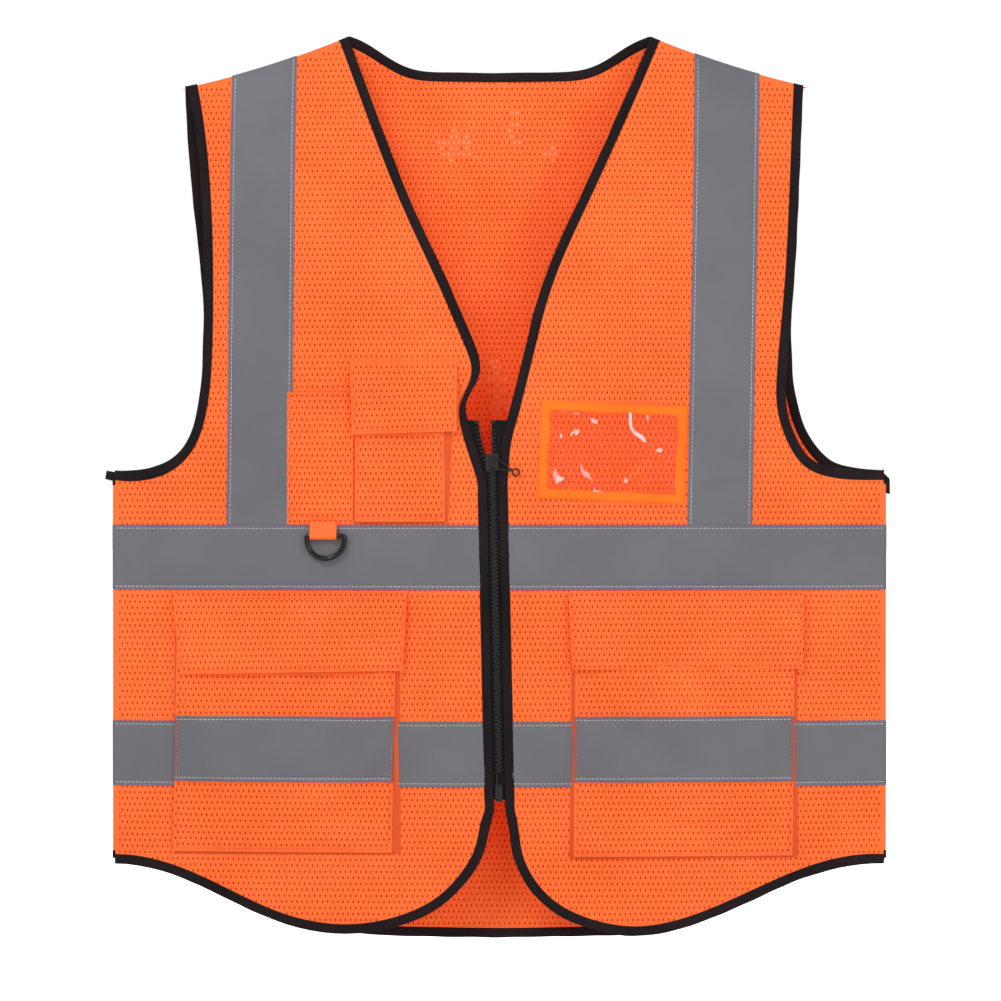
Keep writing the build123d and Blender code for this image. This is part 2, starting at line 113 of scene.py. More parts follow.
# binding tape folded over an edge, in section:
# (place from its inner lip -1 to its fold 1, lift in mm off the cloth's inside)
FOLDED_BAND = [
    (-1.00, 0.52), (-1.02, 0.85), (-0.88, 1.08), (-0.62, 0.92), (-0.30, 1.12), (0.20, 1.26),
    (0.62, 1.16), (0.92, 0.85), (1.04, 0.35), (1.00, -0.12), (0.80, -0.32), (-0.20, -0.36),
    (-0.92, -0.34), (-1.00, -0.18), (-1.00, -0.02), (0.02, -0.02), (0.02, 0.52),
]
BIND_REACH = 3.0 * MM
ROLL_UP = 4.0
BACK_BINDINGS = [f"back_{edge}_binding" for edge in ("neck", "hem")]
BACK_BINDINGS += [f"{side}_back_armhole_binding" for side in SIDES]
# the armhole bindings' cut ends: three (x, z) places along the inner side, then the outer side
TAILS = {
    "right": ([(-0.2925, -0.3405), (-0.298, -0.3395), (-0.3015, -0.3385)],
              [(-0.2925, -0.3335), (-0.298, -0.3325), (-0.3005, -0.3322)]),
    "left": ([(0.2920, -0.3402), (0.2945, -0.3440), (0.2935, -0.3490)],
             [(0.2930, -0.3330), (0.2985, -0.3385), (0.2985, -0.3500)]),
}

# a gusset in section, from its foot to the rim: (mm out from the pocket, lift in mm, share of the
# pocket's lean); the last lift is the pocket's own
GUSSET_FOLD = [(1.6, 0.55, 0.0), (0.4, 0.75, 0.0), (-1.9, 2.1, 0.4), (0.2, None, 1.0)]
# how far the corners of each pocket and flap hang out of square, in mm of (x, z):
# lower left, lower right, upper left, upper right
LEANING = {
    "right_lower_pocket": ((-3.8, 0), (0, 0), (0, 0), (4.2, 0)),
    "left_lower_pocket": ((-1.5, 0), (-0.5, 0), (0.5, 0), (1.5, 0)),
    "right_lower_pocket_flap": ((6.0, -2.0), (-3.5, 1.0), (0, 0), (0, 0)),
    "left_lower_pocket_flap": ((2.5, 0.5), (-1.0, 0.5), (0, 0), (0, 0)),
    "phone_pocket": ((-0.5, 0), (1.0, 0), (0, 0), (0, 0)),
    "phone_pocket_flap": ((1.5, -1.0), (-0.5, 1.5), (0, 0), (0, 0)),
}
# the same for the feet of the gussets, where they are sewn to the panel
SPREADING = {
    "right_lower_pocket": ((-1.5, -0.5), (5.5, 0.5), (-0.5, 0), (4.4, 0)),
    "left_lower_pocket": ((-3.0, -0.5), (2.5, 0), (-1.0, 0), (1.6, 0)),
    "phone_pocket": ((0, 0), (2.0, 0.5), (0, 0), (7.0, 0)),
}
RING_WIRE = 1.9 * MM

# patches of the back where pale webs paint the light coming through the holes: (x, z, half width, half
# height)
PAINTED_LIGHT_PATCHES = [
    (-0.003, -0.268, 0.008, 0.022),
    (0.004, -0.285, 0.006, 0.012),
    (-0.034, -0.082, 0.013, 0.012),
    (0.039, -0.088, 0.007, 0.006),
    (0.012, -0.070, 0.005, 0.015),
]
# soft folds in the cloth: (place, angle to +X in degrees, half length, half width, height in mm)
FOLDS = {
    FRONT: [
        ((-0.035, -0.262), 70, 0.035, 0.012, 2.2),
        ((-0.05, -0.30), 80, 0.04, 0.012, -1.6),
        ((0.03, -0.30), 95, 0.05, 0.014, 1.0),
        ((-0.20, -0.35), 35, 0.05, 0.013, 1.2),
        ((0.21, -0.36), -40, 0.06, 0.014, 1.4),
        ((-0.12, -0.12), -62, 0.09, 0.016, 1.2),
        ((0.12, -0.14), 60, 0.10, 0.016, 1.1),
        ((0.16, -0.655), 10, 0.09, 0.012, 1.0),
        ((-0.15, -0.66), -8, 0.09, 0.012, 1.0),
        ((0.168, -0.338), 12, 0.030, 0.0035, 0.9),
        ((0.150, -0.352), -20, 0.016, 0.003, 0.6),
        ((-0.272, -0.548), 62, 0.020, 0.004, 0.8),
    ],
    BACK: [
        ((-0.03, -0.10), -58, 0.08, 0.009, 2.6),
        ((0.03, -0.11), 62, 0.08, 0.010, -2.4),
        ((0.05, -0.20), 75, 0.07, 0.010, 2.0),
        ((-0.02, -0.24), -70, 0.07, 0.009, -2.0),
        ((0.15, -0.25), 40, 0.10, 0.016, 2.0),
        ((-0.16, -0.28), -35, 0.10, 0.016, 2.0),
        ((0.10, -0.50), 12, 0.12, 0.018, 1.6),
        ((-0.12, -0.55), -10, 0.12, 0.018, -1.6),
    ],
}

RIBS_PER_METRE = 157.0
# the colour of a painted glow, which stands in for the light of the fluorescent dye
PAINTED_GLOW_COLOUR = (1.0, 0.035, 0.0, 1)
ROOM_LIGHT = 0.48

# sizes read off the CAD
SEAM_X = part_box("back_panel")[1].x
BELLY = -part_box("left_front_panel")[0].y - 1.3 * MM
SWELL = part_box("back_panel")[1].y - 1.3 * MM
MESH_ACROSS = 2 * SEAM_X / MESH_COLUMNS
THROAT_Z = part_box("right_zip_tape")[1].z + 12 * MM
UPPER_MIDDLE, LOWER_MIDDLE = (sum(c.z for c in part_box(f"back_{level}_tape")) / 2 for level in LEVELS)


# ------------------------------------------------------------------- cloth curve
def shoulder_z(x):
    """Height of the shoulder seam, as in the CAD."""
    along = np.hypot(x, 0.025) - 0.1155
    return -0.42 * along + 0.8 * along**2


def ridge(x, z, place, angle, length, width):
    """A soft straight fold of height 1 centred at place, running at an angle to +X."""
    c, s = math.cos(math.radians(angle)), math.sin(math.radians(angle))
    along = (x - place[0]) * c + (z - place[1]) * s
    across = -(x - place[0]) * s + (z - place[1]) * c
    return np.exp(-((along / length) ** 2) - (across / width) ** 2)


def swell_noise(x, z, seed, scale):
    """A smooth field between about -1 and 1, from a few seeded waves."""
    rng = np.random.default_rng(seed)
    total = 0
    for _ in range(7):
        turn = rng.uniform(0, math.tau)
        rate = math.tau / (scale * rng.uniform(0.7, 1.8))
        total = total + np.sin((x * math.cos(turn) + z * math.sin(turn)) * rate + rng.uniform(0, math.tau))
    return total / 3.5


def cloth_y(face, x, z):
    """Y of the inside of the cloth at (x, z): the CAD's curve with folds and ripples."""
    swell = BELLY if face == FRONT else SWELL
    across = 1 - (x / (SEAM_X + 0.002)) ** 2
    below = 1 - np.exp((z - shoulder_z(x)) / SHOULDER_ROLL)
    held = np.clip(across * 2.2, 0, 1) * np.clip(below * 1.6, 0, 1)
    ripple = 0.55 * MM * swell_noise(x, z, 5 + face, 0.16) + 0.18 * MM * swell_noise(x, z, 9 + face, 0.05)
    for place, angle, length, width, height in FOLDS[face]:
        ripple = ripple + FOLD_STRENGTH * height * MM * ridge(x, z, place, angle, length, width)
    return face * (SEAM_GAP + swell * across * below + ripple * held)


# ------------------------------------------------------------ outlines of CAD nodes
def loops_of(node, face):
    """The outlines of a CAD sheet seen from its own side, as arrays of (x, z), longest first."""
    bm = bmesh.new()
    bm.from_mesh(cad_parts[node].data)
    bmesh.ops.remove_doubles(bm, verts=bm.verts, dist=0.02 * MM)
    bm.normal_update()
    seen = {f for f in bm.faces if f.normal.y * face > 0.5}
    onward = {}
    for f in seen:
        for loop in f.loops:
            if not any(g in seen for g in loop.edge.link_faces if g is not f):
                onward[loop.vert] = loop.link_loop_next.vert
    rings = []
    while onward:
        start, step = onward.popitem()
        ring = [start, step]
        while step in onward and step is not start:
            step = onward.pop(step)
            ring.append(step)
        rings.append(np.array([(v.co.x, v.co.z) for v in ring[:-1]]))
    bm.free()
    return sorted((r for r in rings if len(r) > 3), key=lambda r: -path_length(r))


def path_length(points):
    return float(np.linalg.norm(np.diff(points, axis=0), axis=1).sum())


def evenly(points, count):
    """count points evenly spaced along a polyline, with both ends."""
    along = np.concatenate([[0], np.cumsum(np.linalg.norm(np.diff(points, axis=0), axis=1))])
    spots = np.linspace(0, along[-1], count)
    return np.stack([np.interp(spots, along, points[:, i]) for i in range(points.shape[1])], 1)


def corner_kept(ring, step):
    """A closed outline cut into short steps, with every corner point kept."""
    pieces = []
    for a, b in zip(ring, np.roll(ring, -1, axis=0)):
        count = max(1, math.ceil(np.linalg.norm(b - a) / step))
        pieces.append(a + (b - a) * (np.arange(count) / count)[:, None])
    return np.vstack(pieces)


def inside(ring, points):
    """Which points lie inside a closed outline."""
    x, z = points[:, 0], points[:, 1]
    hit = np.zeros(len(points), bool)
    for (ax, az), (bx, bz) in zip(ring, np.roll(ring, -1, axis=0)):
        crosses = (az > z) != (bz > z)
        if crosses.any():
            cut = ax + (z - az) * (bx - ax) / (bz - az if bz != az else 1e-12)
            hit ^= crosses & (x < cut)
    return hit


def distance_to(ring, points):
    """Distance from each point to a closed outline."""
    best = np.full(len(points), 1e9)
    for a, b in zip(ring, np.roll(ring, -1, axis=0)):
        d = b - a
        t = np.clip(((points - a) @ d) / max(d @ d, 1e-18), 0, 1)
        best = np.minimum(best, np.linalg.norm(points - a - t[:, None] * d, axis=1))
    return best


def box_ring(x_low, x_high, z_low, z_high):
    return np.array([(x_low, z_low), (x_high, z_low), (x_high, z_high), (x_low, z_high)])


def ring_of(node, grow=0.0):
    """The plain rectangle round a CAD node, in (x, z), grown on every side."""
    low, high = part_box(node)
    return box_ring(low.x - grow, high.x + grow, low.z - grow, high.z + grow)


# ------------------------------------------------------------------ mesh building
def new_piece(name, verts, faces, material, smooth_angle=35):
    mesh = bpy.data.meshes.new(name)
    mesh.from_pydata([tuple(v) for v in verts], [], [tuple(f) for f in faces])
    mesh.validate()
    mesh.shade_smooth()
    mesh.set_sharp_from_angle(angle=math.radians(smooth_angle))
    mesh.materials.append(material)
    piece = bpy.data.objects.new(name, mesh)
    bpy.context.scene.collection.objects.link(piece)
    return piece


def thick_sheet(flat, faces, face, low, high, plugs=()):
    """Vertices and faces of a closed sheet: flat (x, z) points lifted off the cloth curve.
    low and high are lifts outwards: numbers, arrays or functions of (x, z). Each plug is the
    rim of a hole that a thin web closes half way through, instead of a hole right through: a dark
    web is painted shade, a pale one painted light."""
    x, z = flat[:, 0], flat[:, 1]
    base = cloth_y(face, x, z)
    low = low(x, z) if callable(low) else low + 0 * x
    high = high(x, z) if callable(high) else high + 0 * x
    count = len(flat)
    verts = [np.stack([x, base + face * high, z], 1), np.stack([x, base + face * low, z], 1)]
    tidy = []
    edges = set()
    for f in faces:
        area = sum(flat[a][0] * flat[b][1] - flat[b][0] * flat[a][1] for a, b in zip(f, f[1:] + f[:1]))
        outward = f if area * -face > 0 else f[::-1]
        tidy.append(outward)
        edges.update(zip(outward, outward[1:] + outward[:1]))
    closed = {pair for rim in plugs for pair in zip(rim, rim[1:] + rim[:1])}
    closed |= {(b, a) for a, b in closed}
    solid = tidy + [[i + count for i in reversed(f)] for f in tidy]
    rims = [(a, b) for a, b in edges if (b, a) not in edges and (a, b) not in closed]
    solid += [[a, b, b + count, a + count] for a, b in rims]
    painted_webs = []
    total = 2 * count
    for rim in plugs:
        middle = (low[rim] + high[rim]) / 2
        for layer, lift in ((0, middle + WEB / 2), (count, middle - WEB / 2)):
            verts.append(np.stack([x[rim], base[rim] + face * lift, z[rim]], 1))
            web = list(range(total, total + len(rim)))
            total += len(rim)
            outer = [i + layer for i in rim]
            walls = [[outer[i], outer[i - 1], web[i - 1], web[i]] for i in range(len(rim))]
            flip = (face < 0) == (layer == 0)
            solid += [w[::-1] if flip else w for w in walls]
            painted_webs.append(web[::-1] if flip else web)
    return np.vstack(verts), solid, painted_webs


def anywhere(points, reach):
    return np.ones(len(points), bool)


def cdt_fill(ring, step, extra_points=(), extra_edges=(), keep=anywhere):
    """Triangles filling a closed outline, with a grid of points inside to follow the curve."""
    edges = [(i, (i + 1) % len(ring)) for i in range(len(ring))]
    edges += [(len(ring) + a, len(ring) + b) for a, b in extra_edges]
    low, high = ring.min(0), ring.max(0)
    xs = np.arange(low[0] + step / 2, high[0], step)
    zs = np.arange(low[1] + step / 2, high[1], step)
    grid = np.array([(x, z) for z in zs for x in xs]).reshape(-1, 2)
    grid = grid[inside(ring, grid)]
    grid = grid[distance_to(ring, grid) > step * 0.45]
    grid = grid[keep(grid, True)]
    points = [*ring, *extra_points, *grid]
    out = delaunay_2d_cdt([Vector(p) for p in points], edges, [], 0, 1e-7)
    flat = np.array([(v.x, v.y) for v in out[0]])
    tris = [list(f) for f in out[2]]
    centres = np.array([flat[t].mean(0) for t in tris])
    good = inside(ring, centres) & keep(centres, False)
    return flat, [t for t, ok in zip(tris, good) if ok]


def plain_sheet(name, ring, face, low, high, slot, step=4 * MM):
    """A closed sheet with no holes that follows the cloth."""
    verts, faces, _ = thick_sheet(*cdt_fill(corner_kept(ring, step), step), face, low, high)
    return new_piece(name, verts, faces, MAT[slot])


def grid_sheet(name, flat, face, low, high, slot):
    """A closed sheet laid out as a grid: flat holds rows of (x, z) points."""
    rows, columns = flat.shape[:2]
    starts = [r * columns + c for r in range(rows - 1) for c in range(columns - 1)]
    faces = [[a, a + 1, a + columns + 1, a + columns] for a in starts]
    verts, faces, _ = thick_sheet(flat.reshape(-1, 2), faces, face, low.reshape(-1), high.reshape(-1))
    return new_piece(name, verts, faces, MAT[slot])


def cell_places(ring, margin, blocked, rise):
    """The mesh cells inside an outline, clear of its edge and of blocked outlines."""
    low, high = ring.min(0), ring.max(0)
    cells = []
    for row in range(math.floor((low[1] - rise) / MESH_UP) - 1, math.ceil((high[1] - rise) / MESH_UP) + 1):
        first = math.floor(low[0] / MESH_ACROSS) - 1
        last = math.ceil(high[0] / MESH_ACROSS) + 1
        cells += [(2 * i + row % 2, row) for i in range(first, last)]
    centres = np.array([(k * MESH_ACROSS / 2, row * MESH_UP + rise) for k, row in cells])
    good = inside(ring, centres)
    good[good] = distance_to(ring, centres[good]) > margin
    for other in blocked:
        good &= ~inside(other, centres)
    return [cell for cell, ok in zip(cells, good) if ok]


def open_ground(taken, rise):
    """A test for places that no mesh cell covers; with reach, no neighbouring cell either."""
    neighbours = ((2, 0), (-2, 0), (1, 1), (-1, 1), (1, -1), (-1, -1))

    def keep(points, reach):
        half = points[:, 0] / (MESH_ACROSS / 2)
        rows = np.round((points[:, 1] - rise) / MESH_UP).astype(int)
        columns = (np.round((half - rows % 2) / 2) * 2 + rows % 2).astype(int)
        free = []
        for k, row in zip(columns, rows):
            near = [(k, row)] + [(k + a, row + b) for a, b in neighbours] * reach
            free.append(not any(cell in taken for cell in near))
        return np.array(free, bool)

    return keep


def perforated(name, ring, face, low, high, margin, blocked=(), rise=0.0, fill=7 * MM,
               webbed=lambda x, z: "mesh_web", zones=None):
    """Knitted mesh cloth: a closed sheet with a hole in the middle of every cell.
    rise shifts the rows of holes; the web test says which material closes a hole half way through,
    a dark one painted shade, a pale one painted light; zones splits a sheet along its cells."""
    cells = cell_places(ring, margin, blocked, rise)
    corner = {}
    flat = []
    faces = []
    rims = []
    edges = {}

    def lattice(k, row):
        if (k, row) not in corner:
            corner[(k, row)] = len(flat)
            flat.append((k * MESH_ACROSS / 2, (row - 0.5) * MESH_UP + rise))
        return corner[(k, row)]

    for k, row in cells:
        outer = [lattice(k - 1, row), lattice(k, row), lattice(k + 1, row),
                 lattice(k + 1, row + 1), lattice(k, row + 1), lattice(k - 1, row + 1)]
        x, z = k * MESH_ACROSS / 2, row * MESH_UP + rise
        rim = list(range(len(flat), len(flat) + 6))
        flat += [(x + a * HOLE_HALF_WIDE, z + b * HOLE_HALF_TALL) for a, b in HOLE_SHAPE]
        rims.append(rim)
        for i in range(6):
            n = (i + 1) % 6
            faces.append([outer[i], outer[n], rim[n], rim[i]])
            edges[(outer[i], outer[n])] = True

    border = [edge for edge in edges if edge[::-1] not in edges]
    used = sorted({i for edge in border for i in edge})
    index = {v: i for i, v in enumerate(used)}
    extra = [flat[i] for i in used]
    extra_edges = [(index[a], index[b]) for a, b in border]
    more, tris = cdt_fill(corner_kept(ring, 5 * MM), fill, extra, extra_edges, open_ground(set(cells), rise))
    lookup = {(round(flat[i][0] * 1e7), round(flat[i][1] * 1e7)): i for i in used}
    remap = []
    for x, z in more:
        key = (round(x * 1e7), round(z * 1e7))
        if key not in lookup:
            lookup[key] = len(flat)
            flat.append((x, z))
        remap.append(lookup[key])
    faces += [[remap[i] for i in t] for t in tris]
    flat = np.array(flat)
    middles = [flat[rim].mean(0) for rim in rims for _ in range(6)]
    middles += [flat[f].mean(0) for f in faces[len(middles):]]
    zone_of = np.array([zones(*middle) if zones else 0 for middle in middles])
    pieces = []
    for zone in sorted(set(zone_of.tolist())):
        chosen = [f for f, z in zip(faces, zone_of) if z == zone]
        kept = np.unique(np.concatenate([np.array(f) for f in chosen]))
        place_of = dict(zip(kept.tolist(), range(len(kept))))
        chosen = [[place_of[i] for i in f] for f in chosen]
        whole = [[place_of[i] for i in rim] for rim in rims if all(i in place_of for i in rim)]
        colours = [WEB_PAINTS.index(webbed(*flat[kept][rim].mean(0))) for rim in whole]
        verts, solid, painted_webs = thick_sheet(flat[kept], chosen, face, low, high, whole)
        piece = new_piece(f"{name}_{zone}" if zones else name, verts, solid + painted_webs, MAT["mesh"])
        for colour in WEB_PAINTS:
            piece.data.materials.append(MAT[colour])
        slots = np.zeros(len(piece.data.polygons), int)
        slots[len(solid):] = np.repeat(colours, 2) + 1
        piece.data.polygons.foreach_set("material_index", slots)
        pieces.append(piece)
    return pieces


def fix_normals(piece):
    bm = bmesh.new()
    bm.from_mesh(piece.data)
    bmesh.ops.recalc_face_normals(bm, faces=bm.faces)
    bm.to_mesh(piece.data)
    bm.free()


def skin(name, rails, material, smooth_angle=50, closed=False):
    """A closed tube of cloth or wire: rails are equally long rows of 3-D points that run along it,
    in order round its section."""
    rings = np.stack(rails, 1)
    count, sides = rings.shape[:2]
    faces = []
    for i in range(count if closed else count - 1):
        a, b = i * sides, (i + 1) % count * sides
        faces += [[a + j, a + (j + 1) % sides, b + (j + 1) % sides, b + j] for j in range(sides)]
    if not closed:
        faces += [list(range(sides)), [(count - 1) * sides + j for j in reversed(range(sides))]]
    piece = new_piece(name, rings.reshape(-1, 3), faces, material, smooth_angle)
    fix_normals(piece)
    return piece


def on_cloth(face, flat, lift):
    """3-D points on the cloth curve at flat (x, z) points."""
    flat = np.asarray(flat)
    y = cloth_y(face, *flat.T) + face * lift
    return np.stack([flat[:, 0], y, flat[:, 1]], 1)


# ---------------------------------------------------------------------- stitches
def stitch_row(path, outward):
    """Vertices and faces of one row of thread dashes along a 3-D path."""
    along = np.concatenate([[0], np.cumsum(np.linalg.norm(np.diff(path, axis=0), axis=1))])

    def spot_at(distance):
        return np.array([np.interp(distance, along, path[:, i]) for i in range(3)])

    verts = []
    faces = []
    for spot in np.arange(STITCH_START, along[-1] - STITCH_LENGTH, STITCH_PITCH):
        start = len(verts)
        for share, rise, girth in STITCH_SECTION:
            p = spot_at(spot + share * STITCH_LENGTH)
            t = spot_at(spot + share * STITCH_LENGTH + 0.3 * MM) - p
            t = t / max(np.linalg.norm(t), 1e-9)
            up = outward - t * (outward @ t)
            up = up / np.linalg.norm(up)
            side = np.cross(t, up)
            for turn in np.linspace(0, math.tau, THREAD_SIDES + 1)[:-1]:
                out = up * (rise + girth * math.cos(turn)) + side * girth * math.sin(turn)
                verts.append(p + THREAD * out)
        last = start + (len(STITCH_SECTION) - 1) * THREAD_SIDES
        for a in range(start, last, THREAD_SIDES):
            for i in range(THREAD_SIDES):
                n = (i + 1) % THREAD_SIDES
                faces.append([a + i, a + n, a + THREAD_SIDES + n, a + THREAD_SIDES + i])
        faces.append([start + i for i in reversed(range(THREAD_SIDES))])
        faces.append([last + i for i in range(THREAD_SIDES)])
    return verts, faces


def stitches(name, rows, face, thread):
    """One piece holding several rows of stitches; each row is an array of 3-D points."""
    verts = []
    faces = []
    for row in rows:
        new_verts, new_faces = stitch_row(row, np.array([0, face, 0.0]))
        faces += [[i + len(verts) for i in f] for f in new_faces]
        verts += new_verts
    piece = new_piece(name, verts, faces, MAT[thread], 60)
    fix_normals(piece)
    return piece


# --------------------------------------------------------------------- materials
def node_material(name):
    material = bpy.data.materials.new(name)
    material.use_nodes = True
    tree = material.node_tree
    shader = tree.nodes["Principled BSDF"]
    return material, tree, shader


def add(tree, kind, **values):
    node = tree.nodes.new(kind)
    for key, value in values.items():
        if hasattr(node, key):
            setattr(node, key, value)
        else:
            node.inputs[key.replace("_", " ")].default_value = value
    return node


def place(tree, scale=(1, 1, 1)):
    """The piece's own place in metres, scaled, as texture coordinates."""
    source = add(tree, "ShaderNodeTexCoord")
    mapping = add(tree, "ShaderNodeMapping")
    mapping.inputs["Scale"].default_value = scale
    tree.links.new(source.outputs["Object"], mapping.inputs["Vector"])
    return mapping.outputs["Vector"]


def noise(tree, vector, scale, detail=2.0, roughness=0.5):
    node = add(tree, "ShaderNodeTexNoise", Scale=scale, Detail=detail, Roughness=roughness)
    tree.links.new(vector, node.inputs["Vector"])
    return node.outputs["Fac"]


def wave(tree, vector, scale, direction="X", distortion=0.0):
    node = add(tree, "ShaderNodeTexWave", bands_direction=direction, Scale=scale, Distortion=distortion)
    tree.links.new(vector, node.inputs["Vector"])
    return node.outputs["Fac"]


def ramp(tree, factor, stops):
    node = add(tree, "ShaderNodeValToRGB")
    elements = node.color_ramp.elements
    while len(elements) < len(stops):
        elements.new(0.5)
    for element, (position, colour) in zip(elements, stops):
        element.position = position
        element.color = (*colour, 1)
    tree.links.new(factor, node.inputs["Fac"])
    return node.outputs["Color"]


def maths(tree, operation, a, b):
    node = add(tree, "ShaderNodeMath", operation=operation)
    for socket, value in zip(node.inputs, (a, b)):
        if isinstance(value, (int, float)):
            socket.default_value = value
        else:
            tree.links.new(value, socket)
    return node.outputs["Value"]


def bump(tree, shader, height, strength, distance):
    node = add(tree, "ShaderNodeBump", Strength=strength, Distance=distance)
    tree.links.new(height, node.inputs["Height"])
    tree.links.new(node.outputs["Normal"], shader.inputs["Normal"])


def cloth_material(name, dark, light, weave, sheen, rough, depth=0.12 * MM, glow=0.0, shine=0.25):
    """Woven or knitted cloth: two crossed sets of ribs, uneven dye and a soft sheen.
    weave is the rib spacing in mm, as (across, up); glow paints in the red light a fluorescent dye gives
    off."""
    material, tree, shader = node_material(name)
    where = place(tree)
    across = wave(tree, where, RIBS_PER_METRE / weave[0], "X", 1.2)
    upward = wave(tree, where, RIBS_PER_METRE / weave[1], "Z", 1.2)
    ribs = maths(tree, "MULTIPLY", across, upward)
    patchy = noise(tree, where, 22, 3)
    fine = noise(tree, where, 900, 2)
    blend = maths(tree, "ADD", maths(tree, "MULTIPLY", patchy, 0.75), maths(tree, "MULTIPLY", fine, 0.25))
    colour = ramp(tree, blend, [(0.32, dark), (0.68, light)])
    tree.links.new(colour, shader.inputs["Base Color"])
    shader.inputs["Roughness"].default_value = rough
    shader.inputs["Sheen Weight"].default_value = sheen
    shader.inputs["Sheen Roughness"].default_value = 0.5
    shader.inputs["Sheen Tint"].default_value = (*light, 1)
    shader.inputs["Specular IOR Level"].default_value = shine
    # painted glow: emission that stands in for the fluorescent dye's light
    shader.inputs["Emission Color"].default_value = PAINTED_GLOW_COLOUR
    shader.inputs["Emission Strength"].default_value = glow
    height = maths(tree, "ADD", ribs, maths(tree, "MULTIPLY", fine, 0.6))
    bump(tree, shader, height, 0.6, depth)
    return material


def reflective_material():
    """Grey glass-bead tape: a fine glitter of beads, faint creases, satin shine."""
    material, tree, shader = node_material("reflective_tape")
    where = place(tree)
    beads = noise(tree, where, 2600, 1)
    cloudy = noise(tree, where, 14, 4, 0.55)
    blend = maths(tree, "ADD", maths(tree, "MULTIPLY", cloudy, 0.8), maths(tree, "MULTIPLY", beads, 0.2))
    colour = ramp(tree, blend, [(0.3, (0.148, 0.150, 0.168)), (0.7, (0.178, 0.181, 0.200))])
    tree.links.new(colour, shader.inputs["Base Color"])
    shader.inputs["Metallic"].default_value = 0.15
    shader.inputs["Roughness"].default_value = 0.62
    shader.inputs["Sheen Weight"].default_value = 0.05
    creases = add(tree, "ShaderNodeTexNoise", Scale=55, Detail=5, Roughness=0.6)
    tree.links.new(place(tree, (1, 1, 0.45)), creases.inputs["Vector"])
    height = maths(tree, "ADD", maths(tree, "MULTIPLY", beads, 0.06), creases.outputs["Fac"])
    bump(tree, shader, height, 0.25, 0.7 * MM)
    return material


def gloss_material(name, colour, rough, scratch=0.25):
    """Moulded plastic or enamelled metal, with fine flow marks and an uneven shine."""
    material, tree, shader = node_material(name)
    where = place(tree)
    flow = noise(tree, where, 350, 3)
    marks = noise(tree, place(tree, (1, 1, 6)), 900, 2)
    worn = tuple(min(1, c + 0.012) for c in colour)
    shader.inputs["Specular IOR Level"].default_value = 0.4
    tree.links.new(ramp(tree, flow, [(0.35, colour), (0.8, worn)]), shader.inputs["Base Color"])
    roughness = ramp(tree, marks, [(0.3, (rough,) * 3), (0.7, (min(1, rough + scratch),) * 3)])
    tree.links.new(roughness, shader.inputs["Roughness"])
    bump(tree, shader, flow, 0.1, 0.03 * MM)
    return material


def vinyl_material():
    """Clear soft vinyl: see-through and reddish over the cloth, with crisp glints on its creases as painted
    highlights.
    """
    material, tree, shader = node_material("vinyl")
    creases = add(tree, "ShaderNodeTexNoise", Scale=52, Detail=2, Roughness=0.4, Distortion=1.2)
    tree.links.new(place(tree, (1, 1, 0.6)), creases.inputs["Vector"])
    # painted highlights: white diffuse patches mixed in where the crease noise runs high
    painted_glints = ramp(tree, creases.outputs["Fac"], [(0.620, (0, 0, 0)), (0.648, (1, 1, 1))])
    haze = noise(tree, place(tree), 26, 2)
    clear = add(tree, "ShaderNodeBsdfTransparent")
    clear.inputs["Color"].default_value = (1.0, 0.89, 0.80, 1)
    shine = add(tree, "ShaderNodeBsdfDiffuse")
    shine.inputs["Color"].default_value = (1, 0.90, 0.90, 1)
    relief = add(tree, "ShaderNodeBump", Strength=0.6, Distance=0.8 * MM)
    tree.links.new(creases.outputs["Fac"], relief.inputs["Height"])
    tree.links.new(relief.outputs["Normal"], shine.inputs["Normal"])
    amount = maths(tree, "ADD", maths(tree, "MULTIPLY", painted_glints, 0.62), maths(tree, "MULTIPLY", haze, 0.03))
    mix = add(tree, "ShaderNodeMixShader")
    tree.links.new(amount, mix.inputs["Fac"])
    tree.links.new(clear.outputs["BSDF"], mix.inputs[1])
    tree.links.new(shine.outputs["BSDF"], mix.inputs[2])
    tree.links.new(mix.outputs["Shader"], tree.nodes["Material Output"].inputs["Surface"])
    return material


def fuzzy_material():
    """Hook-and-loop tape: a dense pile of tiny loops."""
    material, tree, shader = node_material("hook_and_loop")
    where = place(tree)
    pile = add(tree, "ShaderNodeTexVoronoi", Scale=1400)
    tree.links.new(where, pile.inputs["Vector"])
    # a deep orange-red pile, darkened further as painted shade of the flap over it
    colour = ramp(tree, pile.outputs["Distance"], [(0.0, (0.70, 0.10, 0.02)), (0.7, (0.35, 0.035, 0.01))])
    tree.links.new(colour, shader.inputs["Base Color"])
    shader.inputs["Roughness"].default_value = 0.9
    shader.inputs["Specular IOR Level"].default_value = 0.1
    bump(tree, shader, pile.outputs["Distance"], 0.8, 0.4 * MM)
    return material


